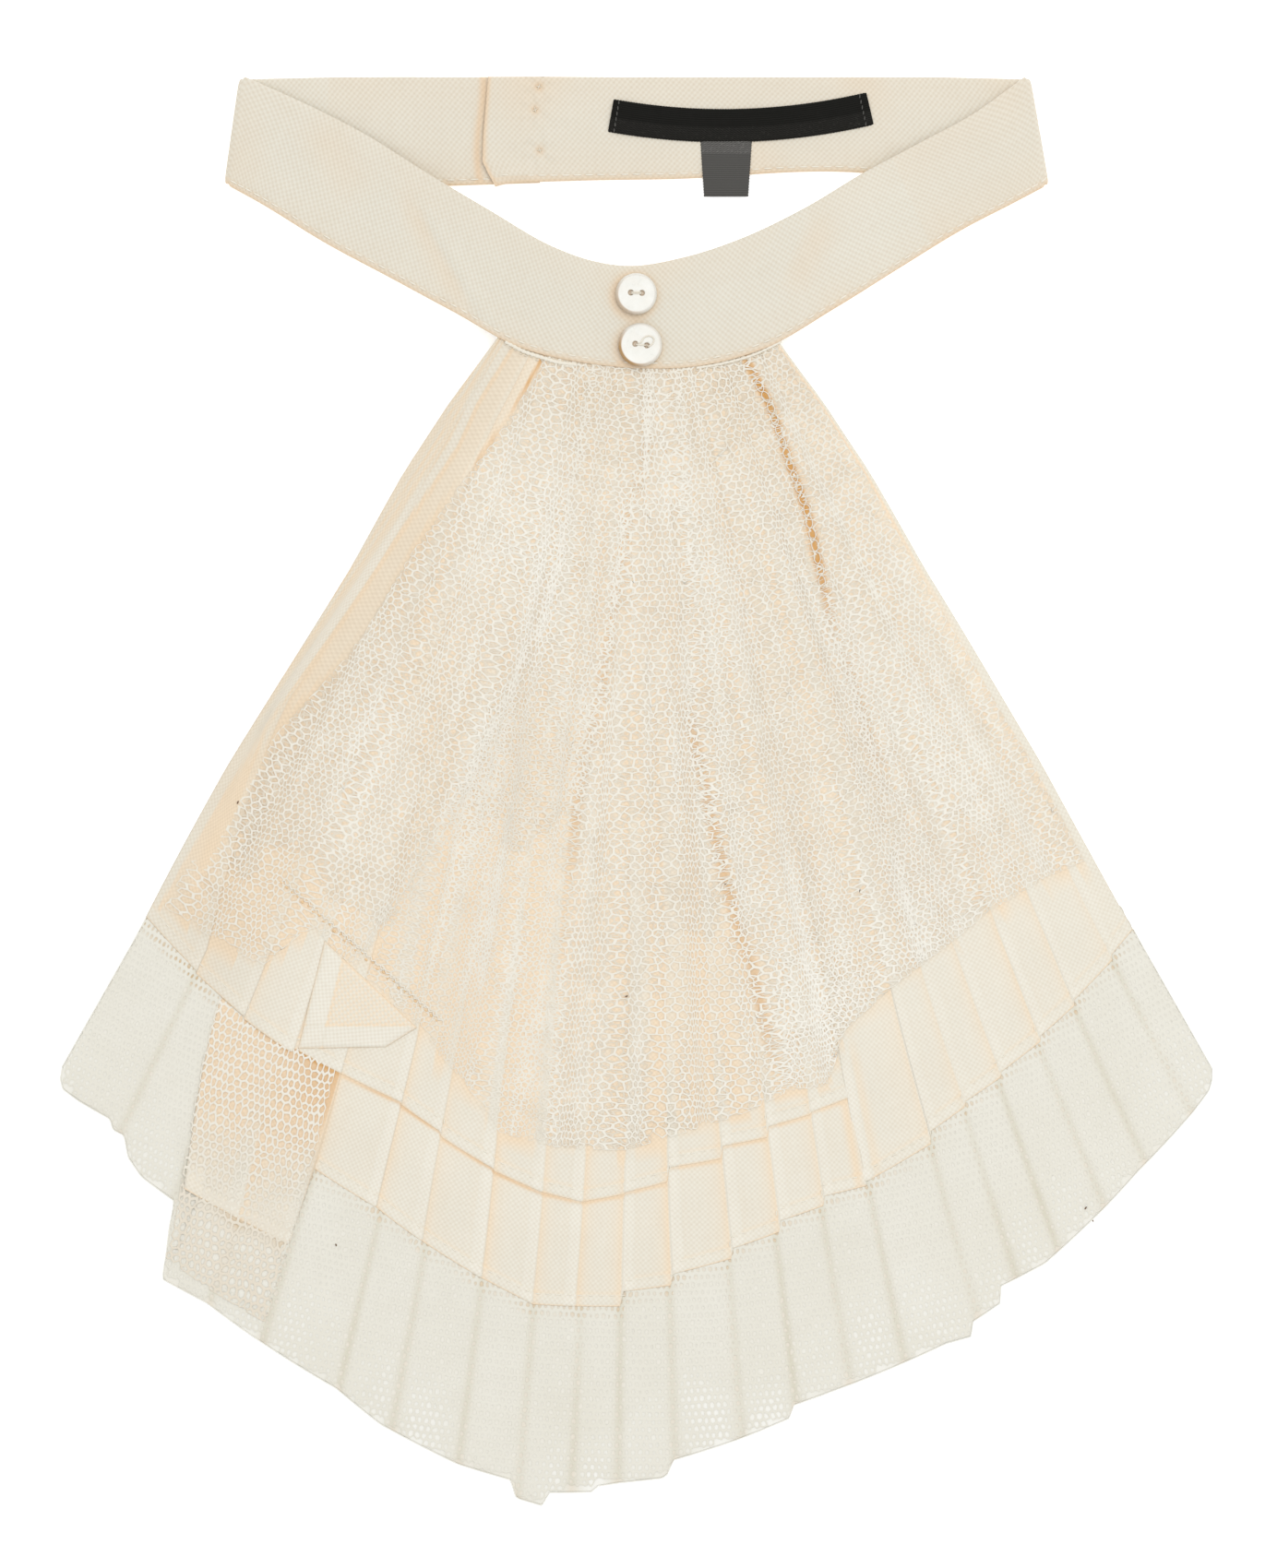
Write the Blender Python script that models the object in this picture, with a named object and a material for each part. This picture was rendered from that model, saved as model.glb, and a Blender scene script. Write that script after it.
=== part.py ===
"""A lace jabot laid flat: a twill neckband with a fan of pleated cloth, lace and net below it.

Lengths are in millimetres until a mesh is made, which is in metres. The jabot lies face up on
the XY plane, its neckband towards +Y, and the origin is under the middle of its box.

The fan's layers share one set of polar coordinates about APEX, the point where the pleats would
meet: an angle in degrees (0 straight down, positive to the right) and a reach from the apex.
They were pleated together, so they share the folds too, and nest in one another.
"""

import math

import bpy
import numpy as np

METRES = 0.001
WALL = 1.0               # wall of every pleated, lace and net layer
GAP = 0.3                # clear space between neighbouring pieces
LEVEL = WALL + GAP       # rise from one layer of the fan to the next

# The fan
APEX = (0.0, 149.0)
SEAM_REACH = 55.0        # the layers' gathered top edge, tucked under the band
FULL_REACH = 300.0       # where the pleats stand at their full height
PLEAT_HEIGHT = 0.8
RAMP = 0.35              # degrees over which a fold drops to the pleat below it
CENTRE_PLEAT = -1.75     # the pleat that lies lowest, with its neighbours' folds facing it
PANEL_EDGE = 12.475      # degrees at which the long cloth's right-hand panel begins, on top of a fold
PANEL_GAP = 0.325        # degrees clear between the two, 0.3 mm at the seam

SPREAD = 31.0            # nominal half angle, which SIDES turns into the true one

# The side outline: (reach, half angle of the fan)
SIDES = [(55, 30.0), (60, 30.7), (76, 32.0), (94, 32.3), (118, 31.7), (168, 31.6), (212, 31.0), (247, 30.8)]

# Where the pleats fold, in degrees
FOLDS = [-27.0, -23.2, -19.9, -17.1, -13.3, -10.7, -7.7, -5.1, -2.9, -0.6, 1.8, 4.7, 7.2, 9.7,
         12.3, 16.0, 18.2, 20.5, 23.3, 26.0, 29.2]

# Hems: (angle, reach just left of it, reach just right of it); the two differ at a stepped fold
NET_HEM = [(-31, 246.1, 246.1), (-27, 248, 248), (-23.2, 257, 272), (-19.9, 276, 276),
           (-13.3, 287, 287), (-7.7, 297.5, 297.5), (-5.1, 300, 304), (-2.9, 304.2, 301.5),
           (-0.6, 299.5, 299.5), (1.8, 297, 294.5), (7.2, 287, 284.5), (9.7, 281.5, 281.5),
           (16, 276, 273.5), (18.2, 269.5, 268), (23.3, 259.5, 259.5), (29.2, 250.5, 250.5),
           (31, 246.1, 246.1)]
LONG_HEM = [(-25, 246, 246), (-22.6, 255, 255), (-17.1, 259, 241.4), (-13.3, 246, 246),
            (-7.7, 257, 257), (-5.1, 261.3, 261.5), (-0.6, 261, 257.8), (1.8, 256.5, 254.1),
            (4.7, 251.4, 249.3), (7.2, 246.7, 244.4), (9.7, 242.5, 240.5), (12.3, 240, 240)]
LONG_RIGHT_HEM = [(12.3, 239, 239), (16, 234.5, 232), (18.2, 229, 228), (20.5, 225.5, 224.5),
                  (23.3, 221.5, 220.5), (26, 217.5, 216.5), (29.2, 212.5, 211.5), (31, 209, 209)]
SHORT_HEM = [(-31, 206, 206), (-27, 211, 211.5), (-23.2, 215.5, 216), (-19.9, 219, 218), (-13.3, 222.5, 223),
             (-10.7, 227, 228), (-7.7, 233, 233.5), (-5.1, 237, 237), (-2.9, 238.5, 238.5), (-0.6, 236, 235),
             (1.8, 231, 230.5), (4.7, 229, 227.5), (7.2, 225.5, 224), (9.7, 222.5, 222), (12.1, 220.5, 220.5)]
COARSE_HEM = [(-22.6, 269, 269), (-19.9, 272, 272), (-17.3, 275, 275)]
COARSE_TOP = 221.0       # its inner edge lies just below the short cloth's hem
COARSE_FALL = (262.0, 268.0)   # reach over which it drops from the long cloth to the net
LACE_HEM = [(-31, 202, 202), (-27, 203, 203), (-23.2, 205, 205), (-21.4, 205, 189), (-16, 195, 195),
            (-12, 204, 210), (-10.1, 215, 215), (-7.7, 225, 225), (-4.5, 227, 227), (-0.6, 227, 227),
            (2.6, 223.5, 223.5), (6.3, 220, 220), (8.5, 217, 217), (12.1, 219, 219),
            (12.4, 204, 204), (15.7, 200, 200), (18.4, 196.5, 196.5), (23.4, 191, 191),
            (27.6, 190, 190), (31, 191, 191)]
# The lace's left edge leaves some cloth bare: (reach, angle)
LACE_LEFT = [(55, 20.0), (60, 20.3), (69, 21.7), (76, 22.8), (92, 25.4), (109, 27.0), (135, 28.0),
             (153, 29.8), (168, 30.9), (205, 30.9)]
LACE_EASE = 0.4          # degrees by which the lace stops short of the cloth's sides
LACE_GATHERS = 22.0      # soft folds of the lace in each turn of the apex, over 2 pi
LACE_FOLD = 0.7          # height of those folds
LACE_COLUMNS = 3.6       # degrees between the lace's columns

# Corner flap of the short cloth, in millimetres
FLAP = [(-67.6, -32.6), (-73.4, -56.0), (-54.4, -55.6), (-47.6, -51.4)]

# The band
BAND_WALL = 1.2
BAND_TOP = 154.8         # the back strip's straight upper edge
FOLD_RADIUS = 0.75       # of the wall's middle, at the two flat side folds
BACK_MIDDLE = BAND_WALL / 2
# The front crescent: (upper x, upper y, lower x, lower y, height of the upper edge, of the lower edge)
FRONT = [(-85.0, 154.8, -88.2, 131.0, 2.1, 2.1), (-72.0, 149.0, -81.0, 127.0, 2.1, 2.1),
         (-58.0, 141.8, -67.0, 118.4, 2.4, 2.7), (-46.0, 134.2, -54.0, 111.4, 3.2, 4.1),
         (-32.0, 125.8, -40.0, 103.8, 4.3, 5.9), (-18.2, 117.8, -24.0, 95.4, 5.3, 6.1),
         (-10.0, 114.8, -13.0, 92.8, 5.4, 6.1), (-0.8, 113.6, 0.0, 91.4, 5.4, 6.1),
         (10.0, 115.4, 13.0, 91.8, 5.4, 6.1), (21.8, 119.2, 27.0, 95.4, 5.3, 6.1),
         (36.4, 126.2, 43.0, 104.4, 4.4, 5.9), (49.0, 133.8, 57.0, 113.2, 3.2, 4.1),
         (62.0, 140.8, 71.0, 121.8, 2.4, 2.7), (73.0, 146.8, 81.0, 127.0, 2.1, 2.1),
         (84.2, 154.8, 88.2, 130.8, 2.1, 2.1)]
# The back strips: (upper x, lower x, lower y, height of the middle)
BACK_LEFT = [(-21.0, -21.0, 131.8, 0.6), (-40.0, -40.0, 131.2, 0.6), (-64.0, -64.0, 131.0, 0.6)]
BACK_RIGHT = [(64.0, 66.0, 132.2, 0.6), (49.0, 49.0, 134.0, 0.6), (6.0, 6.0, 132.6, 0.6),
              (-9.0, -9.0, 132.4, 0.6), (-18.0, -18.0, 132.2, 2.1), (-33.6, -33.2, 132.4, 2.1)]

# Label and size tab, on the band's inside back
LABEL_ENDS = [(-5.6, 146.4), (50.6, 147.9)]
LABEL_SAG = 2.9
LABEL_HEIGHT = 7.2
TAB = [(13.8, 140.2), (14.6, 128.8), (24.2, 128.8), (25.0, 140.1)]
LABEL_LEVEL = BAND_WALL + GAP
LABEL_STATIONS = 9

# Buttons
BUTTON_HEIGHT = 2.0
BUTTON_HOLE = 1.3        # diameter of the two sewing holes
HOLE_PITCH = 2.6
BUTTON_DISH = 0.5        # depth of the face inside its rim
BUTTON_SIDES = 28
# The button's outline from its back to its face: (distance in from the rim, height)
BUTTON_PROFILE = [(0.5, 0.0), (0.0, 0.5), (0.0, BUTTON_HEIGHT - 0.4), (0.4, BUTTON_HEIGHT),
                  (1.0, BUTTON_HEIGHT), (1.5, BUTTON_HEIGHT - BUTTON_DISH)]
# name, x, y, radius
BUTTONS = [("button_upper", -0.2, 107.8, 4.5), ("button_lower", 0.8, 96.8, 4.8)]
FRONT_CENTRE = 7         # the row of FRONT on which the buttons sit

CREAM = (0.84, 0.77, 0.64)
PALE_LACE = (0.83, 0.80, 0.71)
PALE_NET = (0.80, 0.79, 0.70)


def clear_scene():
    for old in list(bpy.data.objects):
        bpy.data.objects.remove(old, do_unlink=True)


def material(name, colour, roughness=0.9):
    """A plain surface of one colour."""
    made = bpy.data.materials.new(name)
    made.use_nodes = True
    shader = made.node_tree.nodes["Principled BSDF"]
    shader.inputs["Base Color"].default_value = (*colour, 1.0)
    shader.inputs["Roughness"].default_value = roughness
    shader.inputs["Metallic"].default_value = 0.0
    return made


def add_object(name, points, faces, surface):
    """A mesh object from points in millimetres."""
    mesh = bpy.data.meshes.new(name)
    mesh.from_pydata((np.asarray(points) * METRES).tolist(), [], faces)
    mesh.materials.append(surface)
    mesh.validate()
    made = bpy.data.objects.new(name, mesh)
    bpy.context.scene.collection.objects.link(made)
    return made


def wall(name, top, bottom, surface):
    """A closed wall between two grids of points, rows by columns.

    The rows run away from the viewer's right hand when the columns run to the right, so that
    the top faces out; the rim joins the two grids all round.
    """
    rows, columns = top.shape[:2]
    size = rows * columns
    index = np.arange(size).reshape(rows, columns)
    a, b, c, d = index[:-1, :-1], index[1:, :-1], index[1:, 1:], index[:-1, 1:]
    upper = np.stack([a, b, c, d], axis=-1).reshape(-1, 4)
    lower = upper[:, ::-1] + size
    loop = np.concatenate([index[0, :-1], index[:-1, -1], index[-1, :0:-1], index[:0:-1, 0]])
    following = np.roll(loop, -1)
    rim = np.stack([loop, following, following + size, loop + size], axis=-1)
    points = np.concatenate([top.reshape(-1, 3), bottom.reshape(-1, 3)])
    return add_object(name, points, np.concatenate([upper, lower, rim]).tolist(), surface)


def table_line(table, at, value=1):
    """Linear interpolation between a table's rows, which run upward in their first column."""
    rows = np.array(table, dtype=float)
    return np.interp(at, rows[:, 0], rows[:, value])


def polar(angle, reach):
    """The point at an angle in degrees and a reach from the apex."""
    turn = np.radians(angle)
    return APEX[0] + reach * np.sin(turn), APEX[1] - reach * np.cos(turn)


def swelling(angle, reach):
    """The angle moved out with the fan's sides, which swell between the seam and the hem."""
    return angle * table_line(SIDES, reach) / SPREAD


def pleat(angle, reach):
    """Height of the knife pleats, which face the centre from both sides: each rises to its fold
    and drops there by a short ramp to the pleat below it, and they flatten towards the seam."""
    corners = [(-32.0, 0.0)]
    for fold in FOLDS:
        left, right = (1.0, 0.0) if fold < CENTRE_PLEAT else (0.0, 1.0)
        corners += [(fold - RAMP / 2, left), (fold + RAMP / 2, right)]
    corners.append((32.0, 0.0))
    growth = np.clip((reach - SEAM_REACH) / (FULL_REACH - SEAM_REACH), 0.0, 1.0)
    return PLEAT_HEIGHT * table_line(corners, angle) * growth


def fan_columns(hem, first, last, marks):
    """Angles of a layer's columns and its hem's reach at each: the two sides of each fold, or
    of each of the layer's own marks, and the places where the hem steps."""
    angles = {first, last}
    for mark in marks:
        angles |= {mark - RAMP / 2, mark + RAMP / 2}
    for row in hem:
        angles |= {row[0] - RAMP / 2, row[0] + RAMP / 2}
    columns = np.array(sorted(angle for angle in angles if first <= angle <= last))
    columns = columns[np.concatenate([[True], np.diff(columns) > RAMP / 4])]
    stops = []
    for angle, left, right in hem:
        stops += [(angle - RAMP / 2, left), (angle + RAMP / 2, right)]
    return columns, table_line(stops, columns)


def fan_layer(name, level, hem, surface, first=-31.0, last=31.0, top=SEAM_REACH, rows=7, flat_under=False,
              side_angle=None, rise=None, fall=None, marks=FOLDS):
    """One layer of the fan: a wall whose top follows the pleats, from its top edge to its hem.

    level is the height of its underside without pleats. side_angle moves the left columns in to
    the layer's own left edge, rise replaces the pleats by the layer's own relief, and fall gives
    a reach over which the layer drops one level.
    """
    angles, reaches = fan_columns(hem, first, last, marks)
    down = np.linspace(0.0, 1.0, rows)[:, None]
    reach = top + (reaches[None, :] - top) * down
    angle = np.broadcast_to(angles[None, :], reach.shape)
    if side_angle is not None:
        left = -side_angle(reach) * SPREAD / table_line(SIDES, reach)
        angle = left + (angle - first) * (last - left) / (last - first)
    relief = (rise or pleat)(angle, reach)
    if fall is not None:
        relief = relief - LEVEL * np.clip((reach - fall[0]) / (fall[1] - fall[0]), 0.0, 1.0)
    x, y = polar(swelling(angle, reach), reach)
    upper = np.stack([x, y, level + WALL + relief], axis=-1)
    lower = upper.copy()
    lower[..., 2] = 0.0 if flat_under else upper[..., 2] - WALL
    return wall(name, upper, lower, surface)


def lace_relief(angle, reach):
    """The lace's soft gathers: long low folds on a level that clears the pleats below."""
    growth = np.clip((reach - SEAM_REACH) / (FULL_REACH - SEAM_REACH), 0.0, 1.0)
    wander = 0.4 * np.sin(reach / 31.0)
    folds = 0.5 + 0.5 * np.sin(np.radians(angle) * LACE_GATHERS + wander)
    return PLEAT_HEIGHT * growth + LACE_FOLD * folds * np.sqrt(growth)


def strip(name, upper, lower, thickness, surface):
    """A strip carried along two edges, with its wall set half its thickness to either side.

    The wall's direction at each station is square to the strip's course and to its height.
    """
    upper = np.array(upper, dtype=float)
    lower = np.array(lower, dtype=float)
    course = np.gradient((upper + lower) / 2, axis=0)
    across = np.cross(course, upper - lower)
    across = across / np.linalg.norm(across, axis=1, keepdims=True) * thickness / 2
    front = np.stack([upper + across, lower + across])
    back = np.stack([upper - across, lower - across])
    return wall(name, front, back, surface)


def side_fold(upper_start, lower_start, side):
    """Stations round a flat side fold, from the back strip's middle up to the front's: half a
    circle that bulges outward by the fold's radius."""
    stations = []
    for turn in np.radians([-60.0, -30.0, 0.0, 30.0, 60.0]):
        out = side * FOLD_RADIUS * math.cos(turn)
        height = BACK_MIDDLE + FOLD_RADIUS * (1 + math.sin(turn))
        stations.append(((upper_start[0] + out, upper_start[1], height),
                         (lower_start[0] + out, lower_start[1], height)))
    return stations


def neckband(surface):
    """The band as one strip: from its hidden end at the back, round the left fold, along the
    front crescent, round the right fold and back to its lapped end."""
    front = [((ux, uy, uz), (lx, ly, lz)) for ux, uy, lx, ly, uz, lz in FRONT]
    left = [((ux, BAND_TOP, z), (lx, ly, z)) for ux, lx, ly, z in BACK_LEFT]
    right = [((ux, BAND_TOP, z), (lx, ly, z)) for ux, lx, ly, z in BACK_RIGHT]
    left_end = [(front[0][0][:2] + (BACK_MIDDLE,), front[0][1][:2] + (BACK_MIDDLE,))]
    right_end = [(front[-1][0][:2] + (BACK_MIDDLE,), front[-1][1][:2] + (BACK_MIDDLE,))]
    left_turn = side_fold(front[0][0], front[0][1], -1)
    right_turn = side_fold(front[-1][0], front[-1][1], 1)[::-1]
    stations = left + left_end + left_turn + front + right_turn + right_end + right
    upper = [station[0] for station in stations]
    lower = [station[1] for station in stations]
    return strip("neckband", upper, lower, BAND_WALL, surface)


def flat_wall(name, plan, bottom, surface):
    """A level wall over a grid of points in the plane."""
    height = np.full(plan.shape[:2] + (1,), bottom)
    top = np.concatenate([plan, height + WALL], axis=-1)
    return wall(name, top, np.concatenate([plan, height], axis=-1), surface)


def label(surface):
    """The label: a flat strip that sags between its sewn ends."""
    share = np.linspace(0.0, 1.0, LABEL_STATIONS)
    (x0, y0), (x1, y1) = LABEL_ENDS
    middle_x = x0 + (x1 - x0) * share
    middle_y = y0 + (y1 - y0) * share - LABEL_SAG * 4 * share * (1 - share)
    slope = np.gradient(middle_y, middle_x)
    length = np.hypot(1.0, slope)
    half = LABEL_HEIGHT / 2
    upper = np.stack([middle_x - half * slope / length, middle_y + half / length], axis=-1)
    lower = np.stack([middle_x + half * slope / length, middle_y - half / length], axis=-1)
    return flat_wall("label", np.stack([upper, lower]), LABEL_LEVEL, surface)


def plate(name, corners, bottom, surface):
    """A flat plate with a four-cornered outline, given from its upper left, anticlockwise."""
    a, b, c, d = corners
    return flat_wall(name, np.array([[a, d], [b, c]], dtype=float), bottom, surface)


def drill(target, x):
    """A sewing hole right through a button, at a distance from its middle."""
    bpy.ops.mesh.primitive_cylinder_add(vertices=12, radius=BUTTON_HOLE / 2 * METRES,
                                        depth=3 * BUTTON_HEIGHT * METRES, location=(x * METRES, 0.0, 0.0))
    cutter = bpy.context.object
    cutter.name = f"{target.name}_hole"
    cutter.parent = target
    cutter.hide_render = True
    cutter.display_type = "WIRE"
    cut = target.modifiers.new("Hole", "BOOLEAN")
    cut.operation = "DIFFERENCE"
    cut.object = cutter


def button(name, x, y, radius, surface):
    """A two-hole shell button with a raised rim, tilted with the band that it is sewn to."""
    turns = np.linspace(0.0, 2 * math.pi, BUTTON_SIDES, endpoint=False)
    rings = [np.stack([(radius - inset) * np.cos(turns), (radius - inset) * np.sin(turns),
                       np.full(BUTTON_SIDES, height)], axis=-1) for inset, height in BUTTON_PROFILE]
    here = np.arange(BUTTON_SIDES)
    following = np.roll(here, -1)
    faces = []
    for level in range(len(rings) - 1):
        low, high = level * BUTTON_SIDES, (level + 1) * BUTTON_SIDES
        faces += np.stack([low + here, low + following, high + following, high + here], axis=-1).tolist()
    faces.append(here[::-1].tolist())
    faces.append((here + (len(rings) - 1) * BUTTON_SIDES).tolist())
    made = add_object(name, np.concatenate(rings), faces, surface)
    for side in (-1, 1):
        drill(made, side * HOLE_PITCH / 2)
    _, upper_y, _, lower_y, upper_z, lower_z = FRONT[FRONT_CENTRE]
    fall = (upper_z - lower_z) / (upper_y - lower_y)
    seat = lower_z + fall * (y - lower_y) + BAND_WALL / 2 + GAP
    made.location = (x * METRES, y * METRES, seat * METRES)
    made.rotation_euler = (math.atan(fall), 0.0, 0.0)


def build():
    clear_scene()
    cloth = material("pleated_cloth", CREAM)
    lace = material("lace", PALE_LACE)
    net = material("net", PALE_NET)
    twill = material("band_twill", CREAM)
    black = material("label_black", (0.01, 0.01, 0.01))
    grey = material("tab_grey", (0.08, 0.08, 0.08))
    shell = material("shell", (0.90, 0.90, 0.86), 0.25)
    fan_layer("net_frill", 0.0, NET_HEM, net, flat_under=True, rows=6)
    fan_layer("long_cloth", LEVEL, LONG_HEM, cloth, first=-25.0, last=PANEL_EDGE - PANEL_GAP)
    fan_layer("long_cloth_right", LEVEL, LONG_RIGHT_HEM, cloth, first=PANEL_EDGE)
    fan_layer("coarse_net", 2 * LEVEL, COARSE_HEM, net, first=-22.6, last=-17.3, top=COARSE_TOP, rows=9,
              fall=COARSE_FALL)
    fan_layer("short_cloth", 2 * LEVEL, SHORT_HEM, cloth, last=12.1)
    fan_layer("lace_overlay", 3 * LEVEL, LACE_HEM, lace, last=31.0 - LACE_EASE, rows=11, rise=lace_relief,
              side_angle=lambda reach: table_line(LACE_LEFT, reach) - LACE_EASE,
              marks=np.arange(-29.0, 30.0, LACE_COLUMNS))
    plate("corner_flap", FLAP, 3 * LEVEL + PLEAT_HEIGHT, cloth)
    neckband(twill)
    label(black)
    plate("size_tab", TAB, LABEL_LEVEL, grey)
    for name, x, y, radius in BUTTONS:
        button(name, x, y, radius, shell)


build()
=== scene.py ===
"""Looks of a lace jabot laid flat: twill neckband, pleated cloths, gathered lace and a net frill.

Lengths are in millimetres until a mesh is made. The fan's layers share polar coordinates about
APEX, where the pleats would meet: an angle in degrees (0 straight down, positive to the right)
and a reach from the apex. Nets are real honeycombs of thread, and cloths are thin pleated shells.
"""

import math

import bpy
import numpy as np
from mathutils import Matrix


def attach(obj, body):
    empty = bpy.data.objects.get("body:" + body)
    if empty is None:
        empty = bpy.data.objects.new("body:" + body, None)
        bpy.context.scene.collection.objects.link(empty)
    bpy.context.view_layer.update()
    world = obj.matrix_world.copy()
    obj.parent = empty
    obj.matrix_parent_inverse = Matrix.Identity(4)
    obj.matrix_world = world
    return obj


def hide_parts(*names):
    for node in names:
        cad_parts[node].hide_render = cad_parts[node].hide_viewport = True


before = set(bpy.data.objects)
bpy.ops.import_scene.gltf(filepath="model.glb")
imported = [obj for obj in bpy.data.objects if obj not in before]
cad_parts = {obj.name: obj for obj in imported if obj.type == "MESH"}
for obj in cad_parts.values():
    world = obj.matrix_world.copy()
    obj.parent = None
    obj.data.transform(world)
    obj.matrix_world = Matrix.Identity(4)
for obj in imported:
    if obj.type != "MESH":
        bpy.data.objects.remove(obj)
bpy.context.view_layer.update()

METRES = 0.001
BODY = "root"
SEED = 11
WAVES = 7                # sines in a random ripple

# The photograph's frame: 0.2 mm to a pixel, with the part's origin at pixel (690, 857)
FRAME_HEIGHT = 340.0
FRAME_MIDDLE = (0.4, 1.4)
LENS = 240.0
SENSOR = 36.0
SHARP_LEVEL = 2.0        # height that the frame's scale holds at

# The fan, as in the part
APEX = (0.0, 149.0)
SEAM_REACH = 55.0
FULL_REACH = 300.0
PLEAT_RISE = 0.16        # how far a fold stands above the pleat that it faces, at full reach
LONG_TOP = 2.2           # heights of the cloths' faces away from their hems
SHORT_TOP = 3.2
PANEL_TOP = 2.4
PANEL_LAP = 1.0          # how far the right-hand panel climbs over the short cloth's end
ON_FRILL = 0.90          # heights of the hems, on the frill and on the long cloth
ON_LONG = 2.34
SEAM_TOP = 5.88          # height that the layers climb to at the seam under the band
CENTRE_PLEAT = -1.75
PANEL_START = 12.3       # angle where the long cloth ends and its right-hand panel shows
SPREAD = 31.0
SIDES = [(55, 30.0), (60, 30.7), (76, 32.0), (94, 32.3), (118, 31.7), (168, 31.6), (212, 31.0), (247, 30.8)]

# Pleats: (fold's angle, how strong the painted shade in its lee is)
FOLDS = [(-27.0, 0.9), (-23.2, 0.7), (-19.9, 0.8), (-17.1, 0.6), (-13.3, 0.9), (-10.7, 0.7), (-7.7, 1.0),
         (-5.1, 0.8), (-2.9, 0.9), (-0.6, 0.8), (1.8, 1.0), (4.7, 0.8), (7.2, 0.9), (9.7, 0.7), (12.3, 1.0),
         (16.0, 0.6), (18.2, 0.5), (20.5, 0.6), (23.3, 0.8), (26.0, 0.6), (29.2, 0.4)]

# Hems: (angle, reach), or (angle, reach just left of it, reach just right of it) at a step
NET_HEM = [(-31.0, 242.5), (-30.85, 245.5), (-30.4, 247.5), (-29.4, 248.0), (-27.6, 248.2),
           (-27.2, 250.0), (-26.6, 250.0), (-25.9, 254.0), (-24.9, 256.5), (-22.9, 258.5, 261.5),
           (-22.4, 269.5), (-22.2, 273.5, 275.0), (-19.9, 276.4), (-17.4, 280.2), (-13.3, 286.2),
           (-11.0, 292.0), (-7.5, 297.8), (-5.15, 300.0, 302.8), (-4.9, 303.8), (-3.8, 305.0),
           (-3.7, 302.0), (-1.75, 301.4, 300.2), (-0.6, 299.2), (1.1, 298.3), (1.45, 296.8, 294.6),
           (4.3, 290.8), (6.8, 287.0, 284.6), (8.9, 282.4), (14.1, 277.3), (15.4, 277.2, 274.4),
           (17.1, 271.8, 268.6), (19.5, 266.8), (22.9, 260.6), (25.4, 255.8), (28.9, 250.2),
           (30.3, 247.6), (30.8, 245.5), (31.0, 243.5)]
LONG_HEM = [(-25, 246), (-22.6, 255), (-17.1, 259, 241.4), (-13.3, 246), (-7.7, 257),
            (-5.1, 261.3, 261.5), (-0.6, 261, 257.8), (1.8, 256.5, 254.1), (4.7, 251.4, 249.3),
            (7.2, 246.7, 244.4), (9.7, 242.5, 240.5), (12.3, 240)]
LONG_RIGHT_HEM = [(12.3, 239), (16, 234.5, 232), (18.2, 229, 228), (20.5, 225.5, 224.5),
                  (23.3, 221.5, 220.5), (26, 217.5, 216.5), (29.2, 212.5, 211.5), (31, 209)]
SHORT_HEM = [(-31, 206), (-27, 211, 211.5), (-23.2, 215.5, 216), (-19.9, 219, 218),
             (-13.3, 222.5, 223), (-10.7, 227, 228), (-7.7, 233, 233.5), (-5.1, 237), (-2.9, 238.5),
             (-0.6, 236.6, 236.2), (1.8, 234, 230.9), (4.7, 229.6, 226.9), (7.2, 226, 223.7),
             (9.7, 222.5, 222), (12.1, 220.5)]
COARSE_HEM = [(-22.6, 270.0), (-19.9, 273.5), (-17.0, 276.5)]


def table_line(table, at):
    """Linear interpolation of a table's second column; its first column runs upward."""
    rows = np.array(table, dtype=float)
    return np.interp(at, rows[:, 0], rows[:, 1])


def polar(angle, reach):
    """The point at an angle in degrees and a reach from the apex."""
    turn = np.radians(angle)
    return APEX[0] + reach * np.sin(turn), APEX[1] - reach * np.cos(turn)


def polar_of(x, y):
    """Angle in degrees and reach of a point: the inverse of polar."""
    across, down = x - APEX[0], APEX[1] - y
    return np.degrees(np.arctan2(across, down)), np.hypot(across, down)


def fan_point(angle, reach):
    """A point of the fan: polar, with its angle moved out with the fan's sides, which swell
    between the seam and the hem."""
    return polar(angle * table_line(SIDES, reach) / SPREAD, reach)


def step(value, low, high):
    """A smooth step: 0 below low, 1 above high, and 3t^2 - 2t^3 between them."""
    t = np.clip((value - low) / (high - low), 0.0, 1.0)
    return t * t * (3.0 - 2.0 * t)


def fall(value, low, high):
    """A smooth step down: 1 below low and 0 above high."""
    return 1 - step(value, low, high)


def bell(distance, width, power=2):
    """A bump that is 1 at distance 0 and fades as exp(-(distance / width)^power)."""
    return np.exp(-(distance / width) ** power)


def full_turn(count):
    """Angles evenly spaced round a circle, in radians."""
    return np.linspace(0.0, 2 * math.pi, count, endpoint=False)


def growth(reach):
    """How far the pleats stand up, from 0 at the seam to 1 at full reach."""
    return np.clip((reach - SEAM_REACH) / (FULL_REACH - SEAM_REACH), 0.0, 1.0)


def ripple(x, y, size, seed):
    """A gentle random surface from -1 to 1: the mean of sines in random directions, size long."""
    draw = np.random.default_rng(seed)
    turn, phase = draw.uniform(0, 2 * math.pi, (2, WAVES))
    stretch = draw.uniform(0.7, 1.6, WAVES)
    x, y = np.asarray(x)[..., None], np.asarray(y)[..., None]
    run = (x * np.cos(turn) + y * np.sin(turn)) * 2 * math.pi / (size * stretch) + phase
    return np.sin(run).mean(axis=-1) * math.sqrt(WAVES) / 1.6


# ---------------------------------------------------------------- finishes

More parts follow.
